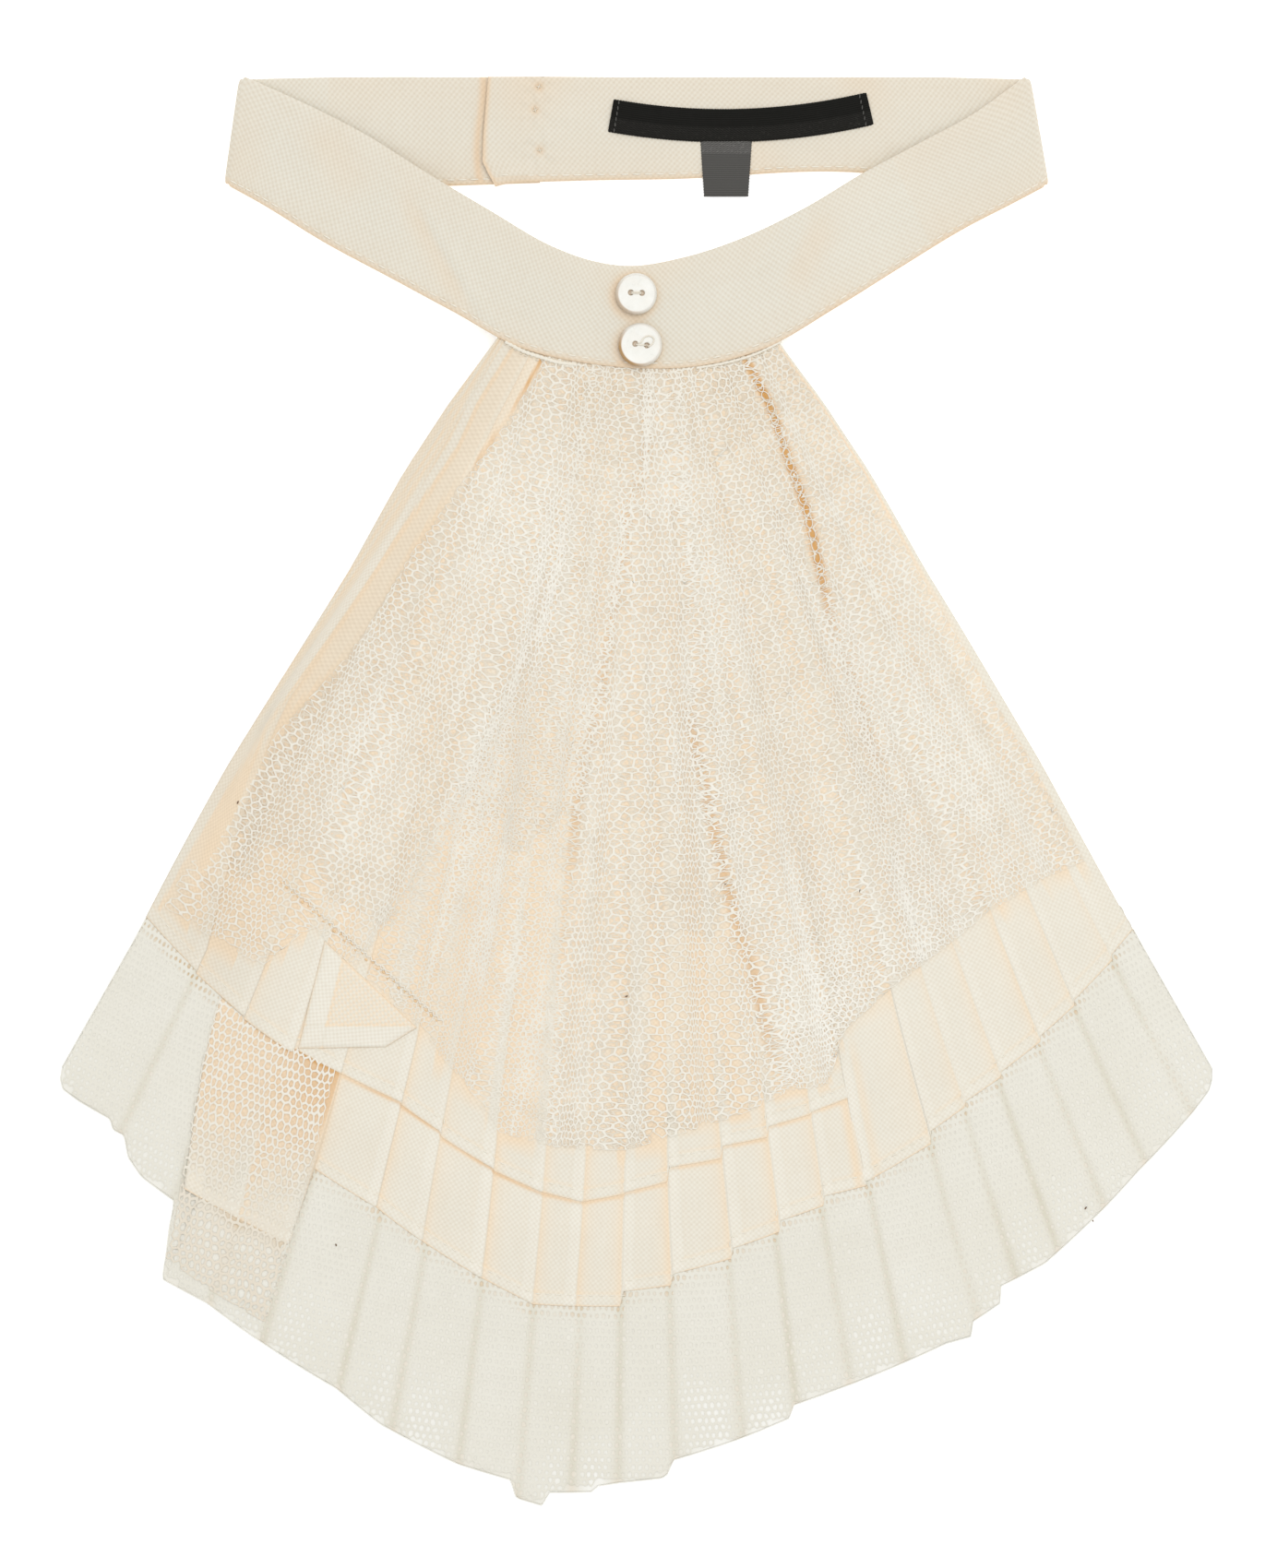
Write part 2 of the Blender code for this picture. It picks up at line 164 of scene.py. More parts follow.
class Value:
    """A number or colour that varies over a surface. Arithmetic on it adds Math nodes."""

    def __init__(self, finish, socket):
        self.finish = finish
        self.socket = socket

    def math(self, operation, *values):
        return self.finish.value("ShaderNodeMath", {"operation": operation}, dict(enumerate(values)))

    def __add__(self, other):
        return self.math("ADD", self, other)

    def __sub__(self, other):
        return self.math("SUBTRACT", self, other)

    def __mul__(self, other):
        return self.math("MULTIPLY", self, other)

    def __rsub__(self, other):
        return self.math("SUBTRACT", other, self)

    def sine(self):
        return self.math("SINE", self)

    def clamped(self):
        return self.math("MINIMUM", self.math("MAXIMUM", self, 0.0), 1.0)


class Finish:
    """One material: a Principled surface whose colour, roughness and bump are worked out by nodes."""

    def __init__(self, name, roughness, **constants):
        self.material = bpy.data.materials.new(name)
        self.material.use_nodes = True
        self.tree = self.material.node_tree
        self.surface = self.tree.nodes["Principled BSDF"]
        self.surface.inputs["Roughness"].default_value = roughness
        for socket, number in constants.items():
            self.surface.inputs[socket.replace("_", " ")].default_value = number

    def node(self, kind, settings=None, inputs=None):
        made = self.tree.nodes.new(kind)
        for name, setting in (settings or {}).items():
            setattr(made, name, setting)
        for socket, content in (inputs or {}).items():
            self.put(made.inputs[socket], content)
        return made

    def put(self, socket, content):
        if isinstance(content, Value):
            self.tree.links.new(content.socket, socket)
        elif isinstance(content, tuple) and len(content) == 3 and socket.type == "RGBA":
            socket.default_value = (*content, 1.0)
        else:
            socket.default_value = content

    def value(self, kind, settings=None, inputs=None, output=0):
        return Value(self, self.node(kind, settings, inputs).outputs[output])

    def place(self):
        """Object coordinates, in metres."""
        return self.value("ShaderNodeTexCoord", output=3)

    def run(self):
        """The piece's own map, in millimetres along and across the cloth."""
        parts = self.node("ShaderNodeSeparateXYZ", inputs={0: self.value("ShaderNodeTexCoord", output=2)})
        return Value(self, parts.outputs[0]), Value(self, parts.outputs[1])

    def attribute(self, name):
        return self.value("ShaderNodeAttribute", {"attribute_name": name}, output=2)

    def noise(self, pitch, detail=2.0, vector=None):
        """Noise from 0 to 1 with lumps about pitch millimetres long."""
        where = {"Vector": vector or self.place(), "Scale": 1.0 / (pitch * METRES), "Detail": detail}
        return self.value("ShaderNodeTexNoise", None, where)

    def streaks(self, across, along, wide, long):
        """Noise drawn out over the cloth: lumps wide millimetres across and long along it."""
        where = self.value("ShaderNodeCombineXYZ", None, {0: across * (1 / wide), 1: along * (1 / long)})
        return self.value("ShaderNodeTexNoise", None, {"Vector": where, "Scale": 1.0, "Detail": 1.0})

    def mix(self, share, first, second):
        """A colour that goes from first to second as share goes from 0 to 1."""
        inputs = {0: share, 6: first, 7: second}
        return self.value("ShaderNodeMix", {"data_type": "RGBA"}, inputs, output=2)

    def colour(self, content):
        self.put(self.surface.inputs["Base Color"], content)

    def rough(self, content):
        self.put(self.surface.inputs["Roughness"], content)

    def bump(self, height, rise):
        """Relief whose height of 1 stands rise millimetres up."""
        inputs = {"Height": height, "Distance": rise * METRES, "Strength": 1.0}
        self.put(self.surface.inputs["Normal"], self.value("ShaderNodeBump", None, inputs))

    def weave(self, across, along, pitch, slant=1.0):
        """A weave from 0 to 1: two crossed sets of threads, pitch apart, turned on the slant."""
        turn = 2 * math.pi / pitch
        warp = ((across + along * slant) * turn).sine()
        weft = ((across * slant - along) * turn).sine()
        return warp * weft * 0.5 + 0.5


# Painted light in the cloth: the peach is painted shade, the amber is painted shadow, and the pale fold
# colour is doubled cloth with a painted highlight.
CREAM = (0.781, 0.745, 0.645)
CREAM_LIGHT = (0.820, 0.788, 0.690)
PALE_DOUBLED_AND_HIGHLIGHT = (0.86, 0.83, 0.74)
PAINTED_PEACH_SHADE = (0.87, 0.715, 0.53)
PAINTED_AMBER_SHADOW = (0.66, 0.34, 0.09)
SHADOW_BROWN = (0.52, 0.40, 0.26)


def cloth_finish():
    """Fine cream cloth: a close weave, pale where it is doubled at a fold with a painted highlight on
    its crest (shade under 0), painted peach shade in the lee of each fold and under the lace (shade
    over 0), painted amber shadow in the deepest gaps (second attribute over 0) and painted
    darkening shade where the second attribute is under 0."""
    made = Finish("pleated_cloth", 0.85, Sheen_Weight=0.1, Sheen_Roughness=0.4)
    across, along = made.run()
    thread = made.weave(across, along, 1.15, 0.08)
    slub = made.streaks(across, along, 0.7, 7.0) * 0.5 + made.streaks(across, along, 7.0, 0.7) * 0.5
    shade = made.attribute("shade")
    uneven = (shade + (made.noise(9.0) - 0.5) * 0.22).clamped()
    cream = made.mix(made.noise(14.0), CREAM, CREAM_LIGHT)
    lit = made.mix((0 - shade).clamped(), cream, PALE_DOUBLED_AND_HIGHLIGHT)
    peach_shaded = made.mix(uneven, lit, PAINTED_PEACH_SHADE)
    # Painted amber shadow where the second attribute is over 0, and painted darkening shade where it is under
    # 0.
    painted_shadow = made.attribute("painted_shadow")
    dark = made.mix(painted_shadow.clamped(), peach_shaded, PAINTED_AMBER_SHADOW)
    dim_shade = (0 - painted_shadow).clamped()
    made.colour(made.mix(((1 - thread) * 0.24 + slub * 0.24 + dim_shade - 0.11).clamped(), dark, SHADOW_BROWN))
    made.rough(made.noise(0.6) * 0.15 + 0.75)
    made.bump(thread, 0.03)
    return made.material


def twill_finish():
    """The band's twill: fine slanting ribs of thread, slightly uneven in tone. Its shade attribute turns
    it peach: random patches of tone, and painted shade at its edges, creases, lap, tacks and buttons.
    """
    made = Finish("band_twill", 0.85, Sheen_Weight=0.1, Sheen_Roughness=0.4)
    across, along = made.run()
    rib = ((across + along * 0.85) * (2 * math.pi / 1.18)).sine() * 0.5 + 0.5
    float_thread = ((across * 0.85 - along) * (2 * math.pi / 1.10)).sine() * 0.5 + 0.5
    thread = rib * 0.6 + float_thread * 0.4
    slub = made.streaks(across, along, 0.6, 9.0) * 0.5 + made.streaks(across, along, 9.0, 0.6) * 0.5
    cream = made.mix(made.noise(24.0, 3.0), (0.70, 0.665, 0.57), (0.75, 0.725, 0.635))
    # Peach from the shade attribute: some random tone, mostly painted shade.
    tone_and_shade = made.mix(made.attribute("shade").clamped(), cream, (0.76, 0.60, 0.43))
    made.colour(made.mix(((1 - thread) * 0.34 + slub * 0.30 - 0.19).clamped(), tone_and_shade, SHADOW_BROWN))
    made.rough(made.noise(0.7) * 0.15 + 0.75)
    made.bump(thread, 0.04)
    return made.material


def thread_finish(name, dark, light, shadow, pale):
    """Matt thread with a soft twist: its tone wanders from dark to light, and goes to a shadow colour
    where its shade is over 0 and to pale where it is under 0. On the frill the pale is painted light
    where the plies thin out and along the rim, and the shadow colour is mostly painted shade beside
    the folds and under the hems."""
    made = Finish(name, 0.8, Sheen_Weight=0.1)
    tone = made.mix(made.noise(5.0), dark, light)
    shade = made.attribute("shade")
    lit = made.mix((0 - shade).clamped(), tone, pale)
    made.colour(made.mix(shade.clamped(), lit, shadow))
    made.rough(made.noise(0.9) * 0.2 + 0.7)
    made.bump(made.noise(0.35, 1.0), 0.02)
    return made.material


def label_finish(name, dark, light, pitch):
    """Woven label satin: close ribs, crossed by slanting floats where the map's second number is
    low, and a few paler flecks."""
    made = Finish(name, 0.7, Specular_IOR_Level=0.12)
    across, along = made.run()
    rib = (along * (2 * math.pi / pitch)).sine() * 0.5 + 0.5
    slant = ((across + along * 1.6) * (2 * math.pi / (pitch * 1.7))).sine() * 0.5 + 0.5
    low = ((3.4 - along) * 2.0).clamped()
    fleck = ((made.noise(0.4, 1.0) - 0.6) * 5.0).clamped()
    floats = (rib * 0.35 + slant * low * 0.5 + fleck * low).clamped()
    made.colour(made.mix(floats, dark, light))
    made.rough(made.noise(1.2) * 0.15 + 0.65)
    made.bump(rib * 0.5 + slant * low * 0.5, 0.05)
    return made.material


def shell_finish():
    """Polished shell: near white, with faint cloudy bands of growth. Its shade attribute browns it: the
    shell's own brown at the edge, painted shade most at the edge's lower left and in the holes.
    """
    made = Finish("shell", 0.25, Coat_Weight=0.3, Coat_Roughness=0.15)
    cloud = made.noise(2.2, 3.0)
    band = (made.noise(5.0, 1.0) * 30.0).sine() * 0.5 + 0.5
    pearl = made.mix(cloud, (0.66, 0.65, 0.59), (0.85, 0.845, 0.80))
    lit = made.mix(band * 0.12, pearl, (0.78, 0.70, 0.58))
    made.colour(made.mix(made.attribute("shade").clamped(), lit, (0.42, 0.25, 0.10)))
    made.rough(cloud * 0.2 + 0.2)
    made.bump(cloud, 0.03)
    return made.material


def speck_finish():
    """A fleck of brown lint."""
    made = Finish("speck", 0.9)
    made.colour(made.mix(made.noise(0.3), (0.10, 0.055, 0.03), (0.22, 0.13, 0.07)))
    return made.material


FINISH = {
    "cloth": cloth_finish(),
    "twill": twill_finish(),
    "lace": thread_finish("lace", (0.755, 0.708, 0.605), (0.80, 0.752, 0.652),
                          (0.62, 0.47, 0.30), (0.875, 0.848, 0.768)),
    "net": thread_finish("net", (0.745, 0.72, 0.635), (0.785, 0.765, 0.685),
                         (0.58, 0.54, 0.40), (0.90, 0.89, 0.84)),
    "gauze": thread_finish("gauze", (0.785, 0.765, 0.685), (0.825, 0.81, 0.74),
                           (0.66, 0.50, 0.31), (0.93, 0.925, 0.89)),
    "sewing": thread_finish("sewing_thread", (0.78, 0.73, 0.62), (0.84, 0.80, 0.70),
                            SHADOW_BROWN, (0.9, 0.88, 0.82)),
    # The gap finish is painted shadow: the tan ovals under the lace's slanting edge.
    "gap": thread_finish("gap", (0.80, 0.58, 0.33), (0.85, 0.64, 0.40), PAINTED_AMBER_SHADOW, PAINTED_PEACH_SHADE),
    "label": label_finish("label_black", (0.003, 0.003, 0.002), (0.022, 0.021, 0.018), 0.45),
    "tab": label_finish("tab_grey", (0.062, 0.060, 0.056), (0.145, 0.140, 0.132), 0.45),
    "shell": shell_finish(),
    "speck": speck_finish(),
}


# ---------------------------------------------------------------- meshes

def add_piece(name, points, faces, finish, replaces=(), run=None, attributes=None, thickness=None):
    """A piece from points in millimetres. run is the map in millimetres and attributes are
    numbers at the points; thickness gives a wall below the surface."""
    mesh = bpy.data.meshes.new(name)
    faces = faces if isinstance(faces, list) else np.asarray(faces).tolist()
    mesh.from_pydata((np.asarray(points) * METRES).tolist(), [], faces)
    mesh.materials.append(FINISH[finish])
    corner = np.empty(len(mesh.loops), dtype=np.int32)
    mesh.loops.foreach_get("vertex_index", corner)
    if run is not None:
        layer = mesh.uv_layers.new(name="run")
        layer.data.foreach_set("uv", np.asarray(run, dtype=np.float32).reshape(-1, 2)[corner].ravel())
    for title, numbers in (attributes or {}).items():
        layer = mesh.attributes.new(title, "FLOAT", "POINT")
        layer.data.foreach_set("value", np.asarray(numbers, dtype=np.float32).ravel())
    mesh.shade_smooth()
    piece = bpy.data.objects.new(name, mesh)
    bpy.context.scene.collection.objects.link(piece)
    if thickness:
        wall = piece.modifiers.new("Wall", "SOLIDIFY")
        wall.thickness = thickness * METRES
        wall.offset = -1.0
    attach(piece, BODY)
    if replaces:
        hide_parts(*replaces)
    return piece


def add_thread(name, shape, shade=0.0, finish="sewing"):
    """A piece of thread, all of one shade."""
    points, faces = shape
    return add_piece(name, points, faces, finish, attributes={"shade": np.full(len(points), shade)})


def point_rows(x, y, z):
    """Points as rows of x, y and z."""
    return np.stack([x, y, z], axis=-1).reshape(-1, 3)


def grid_faces(rows, columns, closed=False):
    """Quads of a grid whose columns run to the right and whose rows run down the page, so that
    they face up; closed joins the last column to the first."""
    index = np.arange(rows * columns).reshape(rows, columns)
    if closed:
        index = np.concatenate([index, index[:, :1]], axis=1)
    a, b, c, d = index[:-1, :-1], index[1:, :-1], index[1:, 1:], index[:-1, 1:]
    return np.stack([a, b, c, d], axis=-1).reshape(-1, 4)


def distances(path):
    """The distance along a path at each of its points."""
    return np.concatenate([[0.0], np.cumsum(np.linalg.norm(np.diff(path, axis=0), axis=1))])


def sampled(path, at, places):
    """A path's points at some places, on the scale that at gives its own points."""
    return np.stack([np.interp(places, at, column) for column in path.T], axis=-1)


def smooth_line(points, count):
    """A curve through points: a cubic between each two, whose slope at a point is the mean of
    the slopes beside it; count places, evenly spaced along it."""
    points = np.asarray(points, dtype=float)
    at = distances(points)
    slope = np.gradient(points, at, axis=0)
    where = np.linspace(0.0, at[-1], count)
    left = np.clip(np.searchsorted(at, where, side="right") - 1, 0, len(at) - 2)
    width = (at[left + 1] - at[left])[:, None]
    t = (where - at[left])[:, None] / width
    near = (2 * t**3 - 3 * t**2 + 1) * points[left] + (t**3 - 2 * t**2 + t) * width * slope[left]
    far = (3 * t**2 - 2 * t**3) * points[left + 1] + (t**3 - t**2) * width * slope[left + 1]
    return near + far


def tube(path, radius, sides=6, closed=False):
    """Points and faces of a round cord: a circle carried along a path, square to its course."""
    path = np.asarray(path, dtype=float)
    course = (np.roll(path, -1, axis=0) - np.roll(path, 1, axis=0)) if closed else np.gradient(path, axis=0)
    course /= np.linalg.norm(course, axis=1, keepdims=True)
    across = np.cross(course, [0.0, 0.0, 1.0])
    across /= np.linalg.norm(across, axis=1, keepdims=True) + 1e-9
    up = np.cross(across, course)
    turn = full_turn(sides)[None, :, None]
    size = np.broadcast_to(np.asarray(radius, dtype=float), (len(path),))[:, None, None]
    rings = path[:, None] + size * (np.cos(turn) * across[:, None] + np.sin(turn) * up[:, None])
    faces = grid_faces(len(path), sides, closed=True)
    if closed:
        last = np.arange(sides) + (len(path) - 1) * sides
        first = np.arange(sides)
        seam = np.stack([last, first, np.roll(first, -1), np.roll(last, -1)], axis=-1)
        faces = np.concatenate([faces, seam])
    return rings.reshape(-1, 3), faces


def joined(parts):
    """Points and faces of several shapes put in one list."""
    start = np.cumsum([0] + [len(points) for points, _ in parts[:-1]])
    points = np.concatenate([points for points, _ in parts])
    faces = np.concatenate([faces + first for (_, faces), first in zip(parts, start)])
    return points, faces


def stitch_shape(length, width, height):
    """One stitch: a thread that rises from the cloth, bows and goes in again. Rings of six points
    shrink to nearly nothing at its two ends."""
    along = np.linspace(-1.0, 1.0, 7)
    swell = np.sqrt(np.clip(1.0 - along**2, 0.004, 1.0))
    turn = full_turn(6)
    x = np.broadcast_to(along[:, None] * length / 2, (7, 6))
    y = swell[:, None] * np.cos(turn) * width / 2
    z = swell[:, None] * (np.sin(turn) * width / 2 + height)
    return point_rows(x, y, z), grid_faces(7, 6, closed=True)[:, ::-1]


def scattered(shape, places, courses, lifts=None):
    """One shape repeated: at each place, with its length along its course; one course will do for
    all of them."""
    points, faces = shape
    places = np.asarray(places, dtype=float)
    courses = np.broadcast_to(np.asarray(courses, dtype=float), places.shape)
    courses = courses / np.linalg.norm(courses, axis=1, keepdims=True)
    up = np.broadcast_to([0.0, 0.0, 1.0], courses.shape) if lifts is None else lifts
    across = np.cross(up, courses)
    across /= np.linalg.norm(across, axis=1, keepdims=True)
    up = np.cross(courses, across)
    turned = (points[None, :, 0:1] * courses[:, None] + points[None, :, 1:2] * across[:, None]
              + points[None, :, 2:3] * up[:, None])
    count = len(points)
    every = faces[None] + (np.arange(len(places)) * count)[:, None, None]
    return (places[:, None] + turned).reshape(-1, 3), every.reshape(-1, faces.shape[1])


# ---------------------------------------------------------------- pleated cloth

# A knife fold's section for the left half, which the right half mirrors: (degrees past the fold,
# height, painted shade in its lee). The doubled cloth just before the fold is paler, with a painted
# highlight on its crest, so its value there is negative.
TURN = [(-0.66, 0.89, 0.1), (-0.5, 0.92, -0.5), (-0.22, 0.99, -0.6), (-0.08, 1.0, -0.75), (0.0, 0.6, 0.2),
        (0.08, 0.05, 1.2), (0.18, 0.0, 0.95), (0.42, 0.03, 0.45)]
PANEL_SHARES = [0.08, 0.2, 0.32, 0.44, 0.56, 0.68, 0.8, 0.92]
CLOTH_WALL = 0.10


def pleat_section(first, last, fine=()):
    """Columns of knife pleats that face the centre, as rows of angle, height, painted shade and pleat
    number. Each pleat climbs evenly to its fold and drops there to the next; fine adds columns."""
    folds = [row for row in FOLDS if first + 0.8 < row[0] < last - 0.8]
    columns = [(first, 0.0, 0.0, 0)]
    for number, (fold, tint) in enumerate(folds + [(last, 0.0)]):
        turn = [] if number == len(folds) else TURN if fold < CENTRE_PLEAT else [
            (-at, high, fold_shade) for at, high, fold_shade in TURN[::-1]]
        begin = columns[-1]
        end = (fold + turn[0][0], turn[0][1], turn[0][2] * tint) if turn else (last, 0.0, 0.0)
        for share in PANEL_SHARES:
            columns.append((begin[0] + (end[0] - begin[0]) * share, begin[1] + (end[1] - begin[1]) * share,
                            begin[2] * (1 - share) ** 3 + end[2] * share**3, number))
        for at, high, fold_shade in turn:
            columns.append((fold + at, high, fold_shade * tint, number + (at > 0)))
    made = np.array(columns + [(last, 0.0, 0.0, len(folds))]).T
    angles = np.union1d(made[0], fine)
    rows = [np.interp(angles, made[0], row) for row in made[1:3]]
    return angles, *rows, made[3][np.searchsorted(made[0], angles)]


def hem_reach(hem, angle):
    """A hem's reach at an angle, with its steps."""
    stops = []
    for at, *reaches in hem:
        stops += [(at - 0.01, reaches[0]), (at + 0.01, reaches[-1])]
    return table_line(stops, angle)


HEM_ROWS = [14.0, 9.0, 5.5, 3.6, 3.05, 2.75, 2.5, 1.2, 0.5, 0.15, 0.0]   # distances in from the hem
COVER_ROWS = [-1.2, -0.4, 0.0, 0.25, 0.5, 0.8, 1.2, 2.0]     # distances past the hem of the layer above
CLOTH_ROWS = 30          # rows of points from the seam down to the hem's own rows
HEM_DEPTH = 2.75
HEM_RISE = 0.06
HEM_STITCH = 2.3         # from one stitch of a hem to the next
PLEAT_MAP = 7.3          # how far the weave's map shifts from one pleat to the next


def pleated_cloth(name, hem, first, last, node, level, painted_shadow=None, tint=None, bend=None,
                  turned=None, fine=(), cover=None):
    """A pleated cloth: the section of its pleats carried from the seam down to the hem.

    level gives its height from angle and reach, and the function after it paints amber shadow in gaps
    and darkening shade; tint adds painted shade, bend moves the columns sideways, and cover is the
    hem of a layer above, where it gets more rows. The turned hem stands HEM_RISE proud of the rest,
    and turned says where the painted shade in its crease goes.
    """
    angles, heights, fold_shades, numbers = pleat_section(first, last, fine)
    hems = hem_reach(hem, angles)
    share = np.linspace(0.0, 1.0, CLOTH_ROWS)[:, None]
    long_rows = SEAM_REACH + (hems[None] - HEM_ROWS[0] - 5.0 - SEAM_REACH) * share
    reach = np.concatenate([long_rows, hems[None] - np.array(HEM_ROWS)[:, None]])
    if cover:
        below = hem_reach(cover, angles)[None] + np.array(COVER_ROWS)[:, None]
        reach = np.sort(np.concatenate([reach, below]), axis=0)
    angle = np.broadcast_to(angles, reach.shape)
    from_hem = hems[None] - reach
    moved = angle + 0.12 * np.sin(reach / 23.0 + angle * 0.5) * step(reach, 70, 140)
    if bend:
        moved = moved + bend(angle, reach)
    x, y = fan_point(moved, reach)
    z = level(angle, reach) + PLEAT_RISE * growth(reach) * heights + table_ripple(x, y)
    edge_drop = 0.15 * fall(from_hem, 0.0, 0.5)
    z += HEM_RISE * step(-from_hem, -HEM_DEPTH - 0.1, -HEM_DEPTH + 0.2) - edge_drop
    # Painted shade: peach in each fold's lee, stronger towards the hem, in the crease above the turned hem
    # and along the hem's bent-down edge; paler where the hem is doubled.
    strength = 0.38 + 0.42 * step(reach, 80, 230)
    doubled = 0.18 * step(-from_hem, -HEM_DEPTH, -2.3)
    crease = 0.30 * bell(from_hem - HEM_DEPTH - 0.15, 0.3) - doubled
    if turned:
        crease = crease * turned(angle)
    shade = fold_shades * strength + crease + 0.9 * fall(from_hem, 0.15, 0.55)
    if tint:
        shade = shade + tint(x, y, angle, reach)
    depth = painted_shadow(x, y) if painted_shadow else np.zeros_like(x)
    centre = np.array([angles[numbers == number].mean() for number in numbers])
    run = np.stack([np.radians(angle - centre) * reach + numbers * PLEAT_MAP, reach], axis=-1)
    piece = add_piece(name, point_rows(x, y, z), grid_faces(*x.shape), "cloth",
                      (node,), run, {"shade": shade, "painted_shadow": depth}, CLOTH_WALL)
    width = np.hypot(np.diff(x, axis=1), np.diff(y, axis=1))[-1].sum()
    area = fan_area(hem, first, last)
    return piece


def hem_stitches(name, hem, first, last, level):
    """Stitches along the inner edge of a turned hem."""
    angle = np.linspace(first, last, 900)
    reach = hem_reach(hem, angle) - HEM_DEPTH + 0.35
    x, y = fan_point(angle, reach)
    z = level(angle, reach) + PLEAT_RISE * growth(reach) * knife_height(angle) + table_ripple(x, y) + HEM_RISE
    line = np.stack([x, y, z + 0.02], axis=-1)
    at = distances(line)
    spots = np.arange(1.5, at[-1] - 1.5, HEM_STITCH)
    places, ahead = sampled(line, at, spots), sampled(line, at, spots + 0.4)
    return add_thread(name, scattered(stitch_shape(1.2, 0.26, 0.03), places, ahead - places))


def table_ripple(x, y):
    """The unevenness of the laid cloths, the same for every layer so that they stay clear."""
    return 0.10 * ripple(x, y, 26.0, SEED + 4) + 0.03 * ripple(x, y, 8.0, SEED + 3)


def settled(level, angle, reach):
    """A layer's level, raised to the seam under the band and lowered at the fan's two sides."""
    side = fall(SPREAD - np.abs(angle), -0.2, 2.4) * step(reach, 62.0, 95.0)
    flat = level - side * (level - 1.0) * 0.7
    return flat + (SEAM_TOP - flat) * fall(reach, 56.5, 86.0)


def long_level(angle, reach):
    """The long cloth's face: down on the frill at its hem, and at LONG_TOP away from it. It sinks
    under the coarse net at the left."""
    from_hem = hem_reach(LONG_HEM, angle) - reach
    under_net = fall(angle, -17.4, -16.9)
    at_hem = ON_FRILL - 0.16 * under_net
    level = at_hem + (LONG_TOP - at_hem) * step(from_hem, 1.0 - under_net, 18.0 + 8.0 * under_net)
    return level - (level - 0.80) * fall(angle, -22.6, -19.5)


def short_level(angle, reach):
    """The short cloth's face: on the long cloth at its hem, or on the frill at the far left, and
    at SHORT_TOP away from it."""
    at_hem = ON_FRILL + (ON_LONG - ON_FRILL) * step(angle, -26.0, -20.8)
    from_hem = hem_reach(SHORT_HEM, angle) - reach
    return settled(at_hem + (SHORT_TOP - at_hem) * step(from_hem, 1.0, 18.0), angle, reach)


def panel_level(angle, reach):
    """The right-hand panel, which climbs over the short cloth's end at its left edge."""
    from_hem = hem_reach(LONG_RIGHT_HEM, angle) - reach
    lap = PANEL_LAP * fall(angle, 12.6, 16.5) * (1 - 0.93 * step(reach, 203.0, 222.0))
    lap = lap - 0.14 * fall(angle, 11.95, 12.2)
    return settled(ON_FRILL + (PANEL_TOP - ON_FRILL) * step(from_hem, 1.0, 18.0) + lap, angle, reach)


def fan_area(hem, first, last):
    """Area of a cloth from the seam to its hem, in square millimetres."""
    return sector_area(SEAM_REACH, hem_reach(hem, np.linspace(first, last, 600)), last - first)


def sector_area(top, low, degrees):
    """Area between two edges of a sector: its angle times the mean of (low^2 - top^2) / 2."""
    return float(np.mean((low**2 - top**2) / 2) * math.radians(degrees))


# ---------------------------------------------------------------- nets

FRILL_REACH = 265.0      # reach at which the frill's net lies at its flat width
FRILL_TUCK = 6.0         # how far the frill's plies go up under the cloths
GAUZE_LEVEL = 0.22       # heights of the frill's plies and rim, and of what lies on it
FRILL_LEVEL = 0.34
RIM_LEVEL = 0.35
SPECK_LEVEL = 0.42
COARSE_LEVEL = 0.44
ROW_STEP = 0.8660254     # between a honeycomb's rows at a pitch of 1: half the root of 3
KEY_ZERO = 40000         # a corner (a, b) has the key (a + KEY_ZERO) * KEY_STEP + b + KEY_ZERO
KEY_STEP = 100000


def honeycomb(pitch, centre, span, stretch=(1.0, 1.0), turn=0.0):
    """A honeycomb over a box about centre: cell centres, the corners that cells share, and the
    six corners of each cell, anticlockwise.

    Cell (i, j) is centred at i*a + j*b, where a and b are a pitch long and 60 degrees apart. A
    corner is the middle of three centres, so whole numbers name it: 2*i or 2*i + 1, and j.
    """
    rows = int(span[1] / stretch[1] / pitch / ROW_STEP / 2) + 2
    half = int(span[0] / stretch[0] / pitch / 2) + 2
    j, k = np.meshgrid(np.arange(-rows, rows + 1), np.arange(-half, half + 1), indexing="ij")
    i, j = (k - np.floor_divide(j, 2)).ravel(), j.ravel()
    around = [(0, 0), (-1, 0), (-2, 0), (-1, -1), (0, -1), (1, -1)]
    keys = np.stack([(2 * i + a + KEY_ZERO) * KEY_STEP + (j + b + KEY_ZERO) for a, b in around], axis=-1)

    def laid(u, v):
        plain = np.stack([(u + v / 2) * pitch * stretch[0], v * pitch * ROW_STEP * stretch[1]], axis=-1)
        c, s = math.cos(turn), math.sin(turn)
        return plain @ np.array([[c, s], [-s, c]]) + np.asarray(centre)

    def corner_places(key):
        a, b = key // KEY_STEP - KEY_ZERO, key % KEY_STEP - KEY_ZERO
        third = (1 + a % 2) / 3
        return laid(a // 2 + third, b + third)

    return laid(i.astype(float), j.astype(float)), keys, corner_places


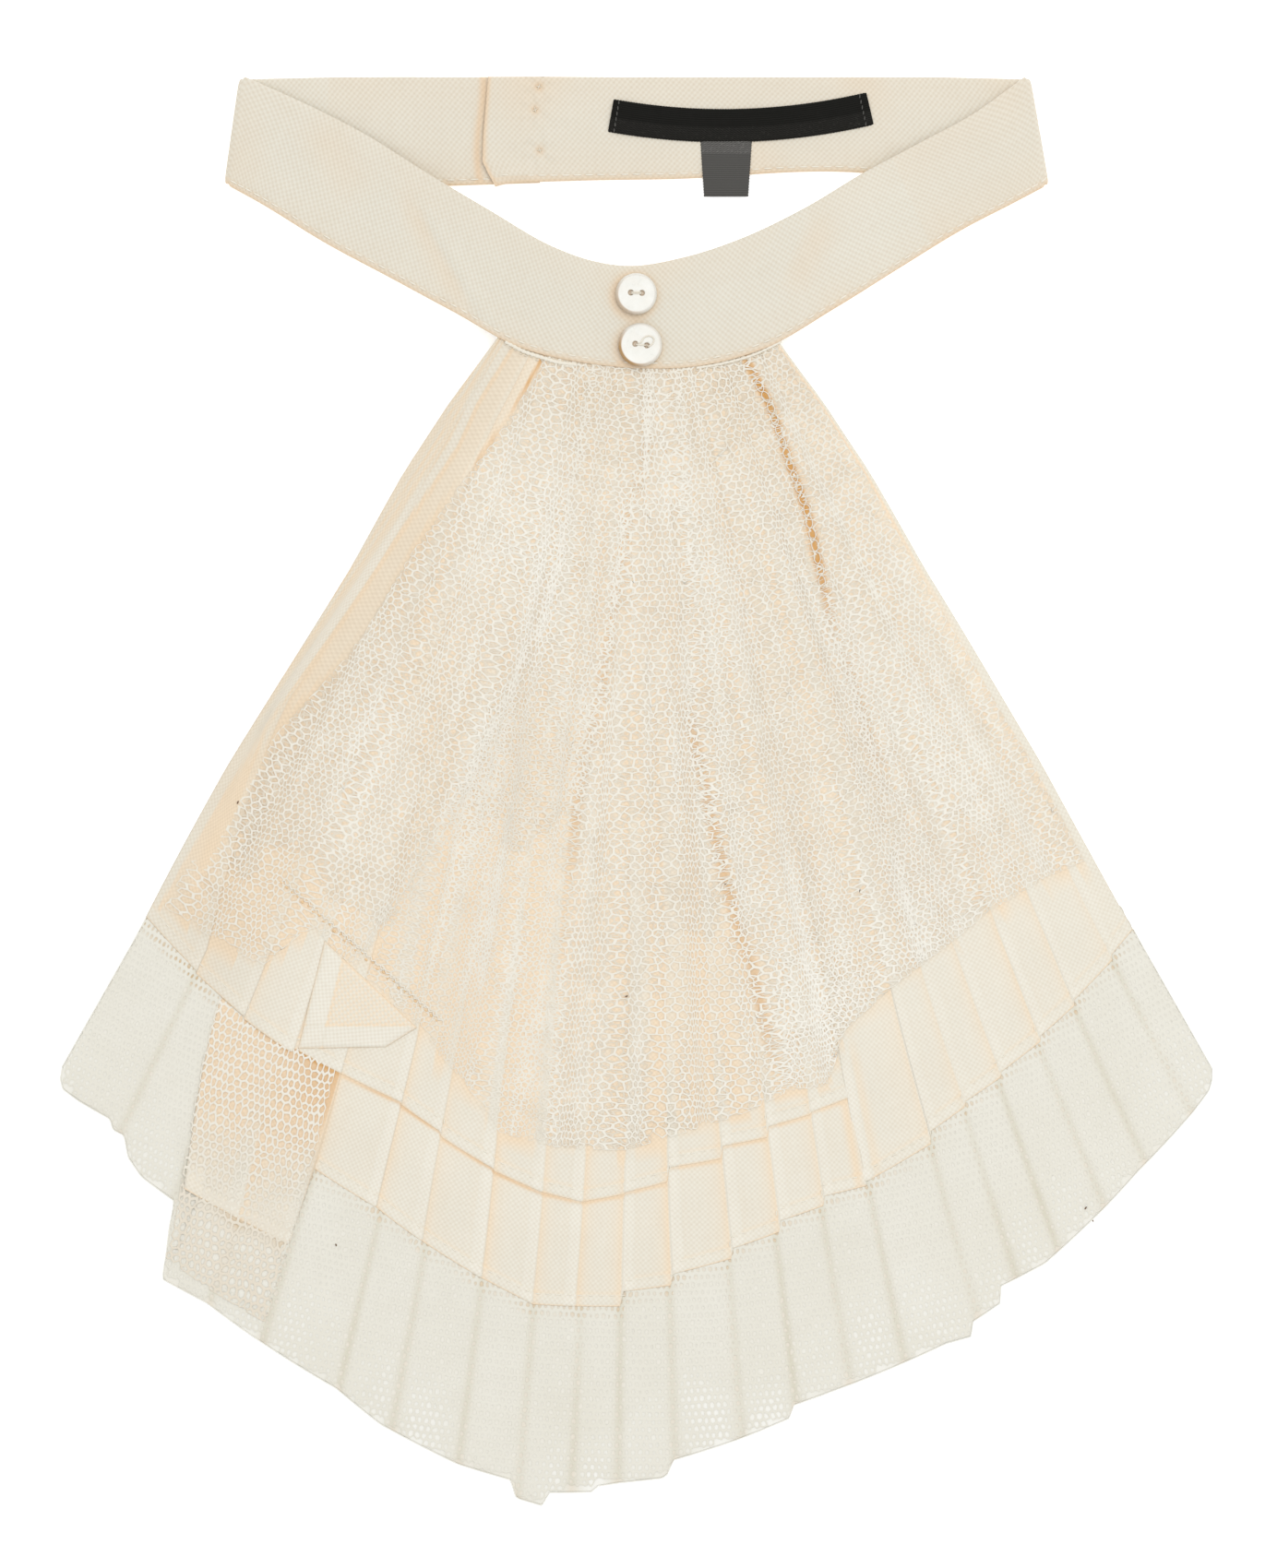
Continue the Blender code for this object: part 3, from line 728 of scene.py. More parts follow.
def net(name, pitch, centre, span, to_plan, inside, height, thread, edge, shade, seed, jitter,
        finish="lace", stretch=(1.0, 1.0), turn=0.0, drop=0.05, replaces=()):
    """A ply of net: a ring of six quads in each cell, from its corners in to the rim of its hole.

    to_plan turns the flat net into plan, inside says which cells are kept, edge pulls corners in
    to the cut edge (a cell cut to a sliver is left out), height is the threads' height and thread
    is half their width. A hole's rim is its cell's outline drawn in to 1 - thread / r, where
    r = 2 area / perimeter is the cell's inner radius, and lies drop lower, which rounds the
    threads.
    """
    draw = np.random.default_rng(SEED + seed)
    centres, keys, corner_places = honeycomb(pitch, centre, span, stretch, turn)
    plan = to_plan(centres)
    kept = inside(plan[:, 0], plan[:, 1])
    plan, keys = plan[kept], keys[kept]
    names, six = np.unique(keys, return_inverse=True)
    six = six.reshape(-1, 6)
    flat = corner_places(names)
    corners = to_plan(flat + draw.normal(0.0, jitter * pitch, flat.shape))
    uncut, corners = corners, edge(corners)
    cut = (np.abs(corners - uncut).max(axis=1) > 0.01)[six].any(axis=1)
    areas = loop_areas(corners[six])
    breadth = areas / np.linalg.norm(corners[six] - np.roll(corners[six], 1, axis=1), axis=-1).sum(axis=1)
    whole = ~cut | ((areas > 0.4 * np.median(areas)) & (breadth > 0.6 * np.median(breadth)))
    kept_names, six = np.unique(keys[whole], return_inverse=True)
    corners, plan, six = corners[np.searchsorted(names, kept_names)], plan[whole], six.reshape(-1, 6)
    ring = corners[six]
    middle = ring.mean(axis=1, keepdims=True)
    around = np.linalg.norm(np.roll(ring, -1, axis=1) - ring, axis=-1).sum(axis=1)
    inner_radius = 2 * loop_areas(ring) / around + 1e-3
    half = thread(plan[:, 0], plan[:, 1]) * draw.uniform(0.75, 1.3, len(plan))
    size = np.clip(1 - half / inner_radius, 0.03, 0.93)[:, None, None]
    rounded = 0.76 * ring + 0.12 * (np.roll(ring, 1, axis=1) + np.roll(ring, -1, axis=1))
    rim = (middle + (rounded - middle) * size).reshape(-1, 2)
    upper = np.column_stack([corners, height(corners[:, 0], corners[:, 1])])
    lower = np.column_stack([rim, height(rim[:, 0], rim[:, 1]) - drop])
    inner = np.arange(len(six) * 6).reshape(-1, 6) + len(corners)
    faces = np.stack([six, np.roll(six, -1, axis=1), np.roll(inner, -1, axis=1), inner], axis=-1)
    points = np.concatenate([upper, lower])
    tint = shade(points[:, 0], points[:, 1])
    piece = add_piece(name, points, faces.reshape(-1, 4), finish, replaces, None, {"shade": tint})
    whole_area, holes = loop_areas(ring).sum(), loop_areas(rim.reshape(-1, 6, 2)).sum()
    length = np.ptp(polar_of(plan[:, 0], plan[:, 1])[1]) * METRES
    return piece


def loop_areas(loops):
    """Areas of plane loops, by the shoelace formula."""
    following = np.roll(loops, -1, axis=1)
    return 0.5 * np.abs((loops[..., 0] * following[..., 1] - loops[..., 1] * following[..., 0]).sum(axis=1))


def polar_plan(flat):
    """Plan of a net laid in the fan's own directions: its width is an arc at FRILL_REACH."""
    angle, reach = np.degrees(flat[:, 0] / FRILL_REACH), flat[:, 1]
    return np.stack(fan_point(angle, reach), axis=-1)


def nominal(x, y):
    """Angle and reach in the fan's own terms, before its sides swell."""
    angle, reach = polar_of(x, y)
    return angle * SPREAD / table_line(SIDES, reach), reach


def fold_distance(angle):
    """Degrees from the nearest fold, positive on the side that the fold faces."""
    folds = np.array([row[0] for row in FOLDS])
    facing = np.where(folds < CENTRE_PLEAT, 1.0, -1.0)
    gap = (np.asarray(angle)[..., None] - folds) * facing
    nearest = np.argmin(np.abs(gap), axis=-1)
    return np.take_along_axis(gap, nearest[..., None], axis=-1)[..., 0]


def knife_height(angle):
    """Height of the pleats from 0 to 1, as in the part."""
    corners = [(-32.0, 0.0)]
    for fold, _ in FOLDS:
        left, right = (1.0, 0.0) if fold < CENTRE_PLEAT else (0.0, 1.0)
        corners += [(fold - 0.12, left), (fold + 0.12, right)]
    corners.append((32.0, 0.0))
    return table_line(corners, angle)


def cover_reach(angle):
    """Reach of the cloths' hems, below which the frill shows."""
    cover = np.where(angle > PANEL_START, hem_reach(LONG_RIGHT_HEM, angle), hem_reach(LONG_HEM, angle))
    return np.where(angle < -22.0, hem_reach(SHORT_HEM, angle), cover)


def net_hem(angle):
    """The frill's hem with its steps rounded: the mean of the hem a little to each side."""
    return np.mean([hem_reach(NET_HEM, angle + shift) for shift in np.linspace(-0.13, 0.13, 11)], axis=0)


def frill_height(level):
    """Height of a ply of the frill: it lies on the table at its hem and rises to the cloths,
    where it shares their unevenness."""
    def height(x, y):
        angle, reach = nominal(x, y)
        near = fall(reach - cover_reach(angle), 3.0, 24.0)
        pleats = knife_height(angle) * PLEAT_RISE * growth(reach)
        rough = 0.03 * ripple(x, y, 9.0, SEED + 5)
        at_hem = 0.12 * fall(net_hem(angle) - reach, 0.0, 1.6)
        return level - at_hem + pleats + rough * (1 - near) + (0.42 + table_ripple(x, y)) * near
    return height


def frill_edge(short):
    """Pulls corners in to the frill's cut edge."""
    def edge(plan):
        angle, reach = nominal(plan[:, 0], plan[:, 1])
        angle = np.clip(angle, -SPREAD, SPREAD)
        reach = np.minimum(reach, net_hem(angle) - short)
        return np.stack(fan_point(angle, reach), axis=-1)
    return edge


def frill_tint(x, y):
    """Olive beside the folds, where the net lies doubled: its own darker tone and painted shade in the
    folds' lee; and a faint uneven tone.
    """
    angle, reach = nominal(x, y)
    gap = fold_distance(angle)
    chain = 0.75 + 0.5 * ripple(angle * 9.0, reach / 8.0, 9.0, SEED + 14)
    fold = bell(gap - 0.16, 0.2) * chain
    return 0.42 * fold + 0.06 * (1 + ripple(x, y, 30.0, SEED + 9))


def gauze_tint(x, y):
    """Painted light: pale where the plies thin out, for the bright floor seen through the holes. Painted
    shadow: tan where the frill comes out from under a hem, and beside the folds.
    """
    angle, reach = nominal(x, y)
    gap = fold_distance(angle)
    below = reach - cover_reach(angle)
    under = bell(below - 0.5, 1.5) * (0.35 + 0.65 * bell(gap, 0.7))
    row = bell(below - 0.8, 1.0) * fall(angle, -24.0, -22.0) * 0.7
    fold = bell(gap - 0.2, 0.2)
    return 0.70 * under + row + 0.20 * fold - 0.60 * frill_openness(x, y) + 0.06


def frill_openness(x, y):
    """0 to 1: how far the plies thin out, which they do near the hem and away from the folds."""
    angle, reach = nominal(x, y)
    from_hem = net_hem(angle) - reach
    ragged = 11.0 + 6.0 * ripple(angle * 2.0, 0 * reach, 9.0, SEED + 16)
    away = step(np.abs(fold_distance(angle) - 0.2), 0.25, 0.7)
    patches = step(ripple(angle * 1.5, reach / 20.0, 9.0, SEED + 17), -0.7, 0.4)
    middle = 1 - 0.55 * step(np.abs(angle), 7.0, 14.0)
    return fall(from_hem, ragged - 5.0, ragged + 6.0) * away * patches * middle


def frill():
    """The net frill's upper ply, which lies over a lower one that is nearly closed."""
    width = math.radians(2 * SPREAD) * FRILL_REACH

    def inside(x, y):
        angle, reach = nominal(x, y)
        return ((np.abs(angle) < SPREAD + 0.05) & (reach < net_hem(angle) - 0.9)
                & (reach > cover_reach(angle) - FRILL_TUCK) & ~under_coarse(x, y))

    def thread(x, y):
        angle, reach = nominal(x, y)
        dense = ripple(angle * 5.0, reach / 9.0, 9.0, SEED + 8)
        return 0.305 + 0.06 * dense - 0.07 * frill_openness(x, y)

    net("net_frill_top", 1.72, (0.0, 255.0), (width + 6, 110.0), polar_plan, inside,
        frill_height(FRILL_LEVEL), thread, frill_edge(0.35), frill_tint, 34, 0.085, "net",
        stretch=(0.78, 1.10), replaces=("net_frill",))


def frill_gauze():
    """The frill's lower ply, a thin shell close under the upper one."""
    angle = np.linspace(-SPREAD + 0.03, SPREAD - 0.03, 700)[None]
    top, low = cover_reach(angle) - FRILL_TUCK, net_hem(angle) - 0.1
    share = np.append(np.linspace(0.0, 0.96, 25), [0.968, 0.976, 0.984, 0.992, 1.0])
    reach = top + (low - top) * share[:, None]
    angle = np.broadcast_to(angle, reach.shape)
    x, y = fan_point(angle, reach)
    points = point_rows(x, y, frill_height(GAUZE_LEVEL)(x, y))
    piece = add_piece("net_frill_under", points, grid_faces(*x.shape), "gauze", (), None,
                      {"shade": gauze_tint(x, y)}, 0.06)


def frill_rim():
    """The fine cord of the frill's cut edge: down its left side, along its hem and up its right."""
    turn = np.linspace(-SPREAD, SPREAD, 1500)
    side = np.linspace(0.0, 1.0, 60)[:-1]
    left_top, right_top = cover_reach(np.array([-SPREAD, SPREAD]))
    down = left_top + (net_hem(-SPREAD) - left_top) * side
    up = (right_top + (net_hem(SPREAD) - right_top) * side)[::-1]
    angle = np.concatenate([np.full(59, -SPREAD), turn, np.full(59, SPREAD)])
    reach = np.concatenate([down, net_hem(turn), up])
    x, y = fan_point(angle, reach)
    path = np.stack([x, y, frill_height(RIM_LEVEL)(x, y)], axis=-1)
    # The rim is painted pale: a painted highlight along the cut edge.
    return add_thread("net_frill_rim", tube(path, 0.15), -0.75, "net")


def lining_ply():
    """The same net where the cloths hide it, up to the seam: a plain thin ply."""
    angle = np.linspace(-SPREAD + 0.6, SPREAD - 0.6, 120)[None]
    edge = cover_reach(angle) - 4.0
    reach = SEAM_REACH + (edge - SEAM_REACH) * np.linspace(0.0, 1.0, 40)[:, None]
    angle = np.broadcast_to(angle, reach.shape)
    x, y = fan_point(angle, reach)
    z = 0.45 + 0.15 * knife_height(angle) * growth(reach)
    piece = add_piece("net_frill_hidden", point_rows(x, y, z), grid_faces(*x.shape), "net", (),
                      np.stack([x, y], axis=-1), {"shade": 0 * x}, 0.3)


BEND_ROUNDS = 40         # repeats that find which of the long cloth's columns a bend moved here
COARSE_LEFT = [(210, -25.2), (225, -24.6), (240, -23.8), (262, -22.6), (276, -22.2)]
COARSE_RIGHT = [(210, -17.3), (222, -17.3), (241, -17.05), (276, -17.0)]


def under_coarse(x, y):
    """Where the coarse net lies, a little in from its edges."""
    angle, reach = nominal(x, y)
    return ((angle > table_line(COARSE_LEFT, reach) + 0.3) & (angle < table_line(COARSE_RIGHT, reach) - 0.3)
            & (reach < table_line(COARSE_HEM, angle) - 2.0))


def coarse_net():
    """The coarse net over the long cloth's first pleat: tall open cells of stout thread."""
    def inside(x, y):
        angle, reach = nominal(x, y)
        left, right = table_line(COARSE_LEFT, reach), table_line(COARSE_RIGHT, reach)
        return ((angle > left - 0.1) & (angle < right + 0.1) & (reach > 208.0)
                & (reach < table_line(COARSE_HEM, angle) + 0.3))

    def edge(plan):
        angle, reach = nominal(plan[:, 0], plan[:, 1])
        angle = np.clip(angle, table_line(COARSE_LEFT, reach), table_line(COARSE_RIGHT, reach))
        reach = np.minimum(reach, table_line(COARSE_HEM, angle))
        return np.stack(fan_point(angle, reach), axis=-1)

    def height(x, y):
        angle, reach = nominal(x, y)
        on_cloth = fall(reach, 246.0, 262.0)
        frill = frill_height(COARSE_LEVEL)(x, y)
        column = angle
        for _ in range(BEND_ROUNDS):
            column = angle - coarse_bend(column, reach)
        pleats = PLEAT_RISE * growth(reach) * knife_height(column)
        cloth = long_level(column, reach) + pleats + table_ripple(x, y)
        lift = 0.05 + 0.17 * step(reach, 213.0, 219.0)
        return frill + (np.maximum(cloth + lift, frill) - frill) * on_cloth

    def thread(x, y):
        _, reach = nominal(x, y)
        return 0.125 + 0.07 * step(reach, 236, 266) + 0.03 * ripple(x, y, 9.0, SEED + 24)

    def shade(x, y):
        _, reach = nominal(x, y)
        return 0.55 * step(reach, 232.0, 264.0) - 0.35

    def plan(flat):
        wander = [0.5 * ripple(flat[:, 0], flat[:, 1], 9.0, SEED + seed) for seed in (25, 26)]
        return polar_plan(flat + np.stack(wander, axis=-1))

    net("coarse_net_ply", 1.92, (-98.0, 244.0), (50.0, 74.0), plan, inside, height, thread, edge, shade,
        77, 0.09, stretch=(0.84, 1.12), drop=0.06, replaces=("coarse_net",))


def coarse_bend(angle, reach):
    """Moves the long cloth's first columns to the coarse net's left edge."""
    return fall(angle, -22.4, -18.5) * (table_line(COARSE_LEFT, reach) + 22.7)


# ---------------------------------------------------------------- lace

# Edges and gather lines of the lace: (reach, true angle)
LACE_LEFT = [(55, -19.6), (60, -19.9), (69, -21.3), (76, -22.4), (92, -25.0), (109, -26.6), (135, -27.6),
             (153, -29.4), (168, -30.5), (205, -30.5)]
LACE_SIDE = 30.35        # the lace stops a little inside the cloth's sides
LACE_SPAN = (300.0, 300.0)       # the flat net that each ply is cut from
LACE_HEM = [(-31, 202), (-27, 203), (-23.4, 204), (-21.8, 194), (-21.2, 192), (-18.5, 196.5),
            (-16, 200.5), (-13.5, 205), (-12, 209, 210), (-10.1, 215), (-7.7, 225), (-4.5, 227),
            (-0.6, 227), (2.6, 223.5), (6.3, 220), (8.5, 217), (11.0, 217), (11.6, 213), (12.6, 206),
            (15.7, 200), (18.4, 196.5), (23.4, 191), (27.6, 190), (31, 191)]
GATHER_ONE = [(55, -9.0), (105, -9.7), (150, -14.0), (195, -18.2), (230, -20.0)]
GATHER_TWO = [(55, 3.0), (77.6, 1.5), (89.6, -1.3), (105.7, -2.4), (121.8, -3.3), (138, -4.2), (154, -4.8),
              (230, -5.2)]
SLIT_TWO = [(55, 8.5), (100, 6.5), (136, 5.05), (150.3, 5.73), (172.8, 6.65), (189.3, 7.6), (203.5, 7.9),
            (213, 8.4), (230, 8.6)]
SLIT_ONE = [(55, 22.8), (62.2, 23.1), (71.5, 23.8), (84.3, 23.0), (95.2, 22.7), (114.5, 20.9), (121.2, 20.4),
            (134, 20.5), (160, 19.5), (210, 18.0)]
SLIT_LEFT = [(55, -20.1), (60, -20.4), (69, -21.7), (76, -22.6), (92, -25.0)]

# Lines along which the gathers draw the net together (pull > 0) or open it (pull < 0), and how
# dark the painted shadow in the gap below is: (route, from reach, to reach, width in mm, pull, depth)
GATHERS = [
    (GATHER_ONE, 60, 205, 2.6, 0.55, 0.0),
    (GATHER_TWO, 62, 110, 1.6, 0.40, 0.30),
    (GATHER_TWO, 100, 170, 1.2, -0.9, 0.38),
    (SLIT_TWO, 130, 212, 1.3, -0.9, 0.50),
    (SLIT_ONE, 56, 122, 1.05, -0.9, 1.0),
    (SLIT_ONE, 118, 160, 1.2, 0.5, 0.25),
    (SLIT_LEFT, 55, 74, 0.4, 0.0, 1.0),
    (SLIT_LEFT, 76, 90, 0.7, 0.0, 0.7),
]


def route_gap(route, x, y):
    """Millimetres from a route, sideways, positive to its right."""
    angle, reach = polar_of(x, y)
    return np.radians(angle - table_line(route, reach)) * reach


# Puckers that run down the lace and crowd its threads: (swing in degrees, spacing, place)
PUCKERS = [(0.46, 7.6, 0.4), (0.23, 3.5, 2.0), (0.10, 1.9, 4.4)]


def drawn(x, y):
    """The net's points moved sideways by its puckers and gathers. A gather moves them towards its
    line by pull times the distance, fading as exp(-(distance/width)^2)."""
    angle, reach = polar_of(x, y)
    for swing, spacing, place in PUCKERS:
        wander = 0.9 * np.sin(reach / 37.0 + place)
        angle = angle + swing * np.sin(2 * math.pi * angle / spacing + place + wander)
    for route, start, stop, width, pull, _ in GATHERS:
        gap = np.radians(angle - table_line(route, reach)) * reach
        there = step(reach, start - 6, start + 6) * fall(reach, stop - 8, stop + 8)
        move = -pull * gap * bell(gap, 2.2 * width) * there * 0.75
        angle = angle + np.degrees(move / reach)
    return polar(angle, reach)


def gap_depth(x, y):
    """How dark the painted shadow under the lace's open gathers is, 0 to 1."""
    depth = np.zeros_like(x)
    _, reach = polar_of(x, y)
    for route, start, stop, width, _, dark in GATHERS:
        gap = route_gap(route, x, y)
        there = step(reach, start - 3, start + 8) * fall(reach, stop - 14, stop + 4)
        depth = np.maximum(depth, dark * bell(gap, width, 4) * there)
    return depth


def in_lace(x, y, trim=0.0):
    """Where the lace lies, trim millimetres in from its left edge and its hem."""
    angle, reach = polar_of(x, y)
    side, _ = nominal(x, y)
    return ((angle > table_line(LACE_LEFT, reach) + np.degrees(trim / reach)) & (side < LACE_SIDE)
            & (reach < hem_reach(LACE_HEM, side) - trim) & (reach > SEAM_REACH))


def cloth_top(x, y):
    """Height of the cloth that the lace lies on: the short cloth, or the panel right of it."""
    angle, reach = nominal(x, y)
    on_panel = step(angle, 10.9, PANEL_START)
    level = short_level(angle, reach) * (1 - on_panel) + panel_level(angle, reach) * on_panel
    return level + PLEAT_RISE * growth(reach) * knife_height(angle) + table_ripple(x, y)


def lace_height(lift, swell):
    """The cloth's own height, a ply's lift above it, and soft rounded gathers."""
    def height(x, y):
        angle, reach = polar_of(x, y)
        folds = 0.5 + 0.5 * np.sin(np.radians(angle) * 22.0 + 0.4 * np.sin(reach / 31.0))
        soft = swell * folds * np.sqrt(growth(reach)) + 0.03 * ripple(x, y, 5.0, SEED + 21)
        return cloth_top(x, y) + lift + soft
    return height


# Generic flowers worked in the lace: (x, y, radius, petals)
FLOWERS = [(52.0, 44.0, 9.0, 5), (72.0, 2.0, 9.0, 5), (-36.0, -68.0, 8.0, 5), (-6.0, 20.0, 8.0, 6),
           (34.0, -44.0, 8.5, 5), (-62.0, -14.0, 8.5, 6), (14.0, -74.0, 7.5, 5), (-40.0, 24.0, 7.0, 5),
           (58.0, -30.0, 7.0, 6), (24.0, 64.0, 6.5, 5), (-18.0, -34.0, 7.5, 5)]


def flower_work(x, y):
    """Density of the worked flowers, 0 to 1: petals r = R (0.62 + 0.38 |cos(n t / 2)|), filled
    towards their rims, with an open eye."""
    work = np.zeros_like(x)
    for cx, cy, size, petals in FLOWERS:
        across, up = x - cx, y - cy
        radius = np.hypot(across, up)
        turn = np.arctan2(up, across)
        rim = size * (0.62 + 0.38 * np.abs(np.cos(petals * turn / 2 + cx)))
        share = radius / rim
        work = np.maximum(work, bell(share - 0.85, 0.2))
        work = np.maximum(work, bell(radius / size - 0.2, 0.1))
    return work


def lace_edge(plan):
    """Pulls corners in to the lace's cut edges."""
    x, y = plan[:, 0], plan[:, 1]
    angle, reach = polar_of(x, y)
    angle = np.maximum(angle, table_line(LACE_LEFT, reach))
    side = LACE_SIDE * table_line(SIDES, reach) / SPREAD
    angle = np.minimum(angle, side)
    reach = np.minimum(reach, hem_reach(LACE_HEM, angle * SPREAD / table_line(SIDES, reach)))
    return np.stack(polar(angle, reach), axis=-1)


def lace_plan(flat):
    """Plan of the lace's net: wandering a little, and drawn to its puckers and gathers."""
    x = flat[:, 0] + 0.45 * ripple(flat[:, 0], flat[:, 1], 6.0, SEED + 51)
    y = flat[:, 1] + 0.45 * ripple(flat[:, 0], flat[:, 1], 6.0, SEED + 52)
    return np.stack(drawn(x, y), axis=-1)


# Where the lace's plies lie closest and look whitest: (x, y, half its width, half its length)
WHITER = [(-26.0, 55.0, 14.0, 30.0), (4.0, 68.0, 10.0, 24.0), (-62.0, 4.0, 14.0, 22.0),
          (16.0, 30.0, 6.0, 34.0), (62.0, 6.0, 12.0, 30.0), (36.0, -52.0, 14.0, 10.0),
          (-34.0, 6.0, 6.0, 26.0)]


def whiteness(x, y):
    """0 to 1: soft patches stretched down the fan, broken into streaks by a radial ripple."""
    angle, reach = polar_of(x, y)
    patch = np.zeros_like(x)
    for cx, cy, wide, long in WHITER:
        lean = np.arctan2(cx - APEX[0], APEX[1] - cy)
        across = (x - cx) * np.cos(lean) + (y - cy) * np.sin(lean)
        along = (x - cx) * np.sin(lean) - (y - cy) * np.cos(lean)
        patch = np.maximum(patch, np.exp(-(across / wide) ** 2 - (along / long) ** 2))
    streak = ripple(angle * 7.0, reach / 7.0, 9.0, SEED + 31)
    return np.clip(0.45 * patch + 0.34 * streak + 0.12, 0.0, 1.0)


def peach_patch(x, y):
    """0 to 1: the long patch between the first two gathers, where the coarse ply thins out and
    the pleats show peach through the fine plies."""
    angle, reach = polar_of(x, y)
    left, right = table_line(GATHER_ONE, reach), table_line(GATHER_TWO, reach)
    across = step(angle, left - 1.5, left + 2.0) * fall(angle, right - 1.5, right + 1.0)
    return across * step(reach, 118.0, 152.0)


def in_slit(x, y):
    """Where the lace is slit open beside its right-hand gather."""
    _, reach = polar_of(x, y)
    wide = 0.85 * step(reach, 58.0, 66.0) * fall(reach, 108.0, 124.0)
    return np.abs(route_gap(SLIT_ONE, x, y)) < wide


def lace():
    """The lace overlay: a coarse ply in five gathered widths, over a fine ply in two halves and,
    where the lace looks whitest, a web in two halves."""
    # name, left line, right line, turn in degrees, lift, pitch, reach where it ends
    widths = [("left", LACE_LEFT, GATHER_ONE, -24.0, 0.13, 1.60, 400.0),
              ("left_middle", GATHER_ONE, GATHER_TWO, -10.0, 0.15, 1.45, 158.0),
              ("middle", GATHER_TWO, SLIT_TWO, 1.5, 0.13, 1.72, 400.0),
              ("right_middle", SLIT_TWO, SLIT_ONE, 13.0, 0.16, 1.50, 400.0),
              ("right", SLIT_ONE, None, 26.0, 0.13, 1.45, 400.0)]
    # name, side, pitch, turn in degrees, lift, half a thread's width
    fine = [("fine_left", -1, 1.30, 7.0, 0.09, 0.058), ("fine_right", 1, 1.30, 19.0, 0.09, 0.058),
            ("web_left", -1, 1.42, -18.0, 0.06, 0.060), ("web_right", 1, 1.42, 31.0, 0.06, 0.060)]

    def coarse_thread(x, y):
        _, reach = polar_of(x, y)
        near_seam = fall(reach, 62, 110)
        half = 0.074 + 0.026 * whiteness(x, y) + 0.012 * near_seam + 0.05 * flower_work(x, y)
        return half * (1 - 0.45 * peach_patch(x, y))

    def shade(x, y):
        # Darker near the seam, paler low on the right, painted shade darkening the left side, paler where the
        # plies look whitest, and an uneven tone.
        top = fall(polar_of(x, y)[1], 70.0, 100.0)
        low_right = step(x, 15.0, 40.0) * fall(y, -40.0, 0.0)
        left = step(-x, 20.0, 50.0)
        uneven = 0.07 * ripple(x, y, 12.0, SEED + 66)
        return 0.04 + 0.20 * top - 0.24 * low_right + 0.16 * left - 0.55 * whiteness(x, y) + uneven

    for order, (name, left, right, turn, lift, pitch, end) in enumerate(widths):
        def inside(x, y, left=left, right=right, end=end):
            angle, reach = polar_of(x, y)
            lap = np.degrees(1.0 / reach)
            within = in_lace(x, y, 0.35) & (angle > table_line(left, reach) - lap) & ~in_slit(x, y)
            within = within & (reach < end + 9.0 * ripple(x, y, 12.0, SEED + 67))
            return within if right is None else within & (angle < table_line(right, reach) + lap)

        net(f"lace_{name}", pitch, (turn * 2.0, 30.0), LACE_SPAN, lace_plan, inside, lace_height(lift, 0.10),
            coarse_thread, lace_edge, lambda x, y: shade(x, y) - 0.36 * (1 - 0.8 * peach_patch(x, y)),
            40 + order, 0.13, turn=math.radians(turn), drop=0.04,
            replaces=("lace_overlay",) if order == 0 else ())
    for name, sign, pitch, turn, lift, half in fine:
        web = name.startswith("web")

        def inside(x, y, sign=sign, web=web):
            angle, reach = polar_of(x, y)
            ragged = (reach < 182.0 + 6.0 * ripple(x, y, 14.0, SEED + 61)) | (angle > -17.0)
            there = in_lace(x, y, 0.3) & ((angle - 1.0) * sign > 0) & (gap_depth(x, y) < 0.4) & ragged
            return there & (whiteness(x, y) > 0.22) if web else there & (thinned(x, y) < 0.5)

        def thread(x, y, half=half):
            return half + 0.022 * whiteness(x, y) + 0.04 * flower_work(x, y)

        net(f"lace_{name}", pitch, (0.0, 30.0), LACE_SPAN, lace_plan, inside, lace_height(lift, 0.05),
            thread, lace_edge, lambda x, y: shade(x, y) + 0.26 - 0.50 * peach_patch(x, y),
            60 + int(web), 0.11, turn=math.radians(turn), drop=0.03)


def slit_chain():
    """Loops of thread that hold the slit's two sides, each an upright ring 2.5 mm long."""
    turn = full_turn(20)
    rings = []
    for reach in np.arange(67.0, 112.0, 2.6):
        across = 0.72 * np.cos(turn) + 0.08 * np.sin(reach)
        along = reach + 1.25 * np.sin(turn)
        x, y = polar(table_line(SLIT_ONE, along) + np.degrees(across / along), along)
        path = np.stack([x, y, cloth_top(x, y) + 0.24 + 0.04 * np.sin(turn)], axis=-1)
        rings.append(tube(path, 0.10, closed=True))
    return add_thread("slit_chain", joined(rings), -0.4, "lace")


def thinned(x, y):
    """1 where the lace has one ply only: the open cells low down in the middle."""
    patch = 1.6 * np.exp(-((x - 15.0) / 15.0) ** 4 - ((y + 52.0) / 24.0) ** 4)
    return step(patch + 0.25 * ripple(x, y, 14.0, SEED + 63), 0.75, 0.95)


def edge_row():
    """The lace's slanting edge above the flap: a pale thread, and below it a row of small tan ovals of
    uneven size, painted shadow seen through holes."""
    start, end = np.array([-77.0, -20.0]), np.array([-42.5, -50.6])
    course = np.append(end - start, 0.0)
    pitch = 1.55 / np.linalg.norm(end - start)
    share = np.arange(0.0, 1.0, pitch)[:, None]
    spots = start + (end - start) * share + 0.22 * np.sin(share * 90.0) * np.array([0.7, 1.0])
    level = cloth_top(spots[:, 0], spots[:, 1])
    places = np.column_stack([spots, level + 0.22])
    groups = []
    for first, long, wide in ((0, 0.62, 0.36), (1, 0.80, 0.50), (2, 0.48, 0.42)):
        groups.append(scattered(stitch_shape(long, wide, -0.06), places[first::3], course))
    add_thread("edge_row_shadow", joined(groups), 0.15, "gap")
    share = np.linspace(0.0, 1.0, 260)[:, None]
    path = start + (end - start) * share + np.array([0.42, 0.48]) + 0.16 * np.sin(share * 210.0)
    level = cloth_top(path[:, 0], path[:, 1])
    add_thread("edge_row", tube(np.column_stack([path, level + 0.26]), 0.12), -0.5, "lace")


TURN_45 = np.array([[0.7071, -0.7071], [0.7071, 0.7071]])     # turns the flap's weave on the slant


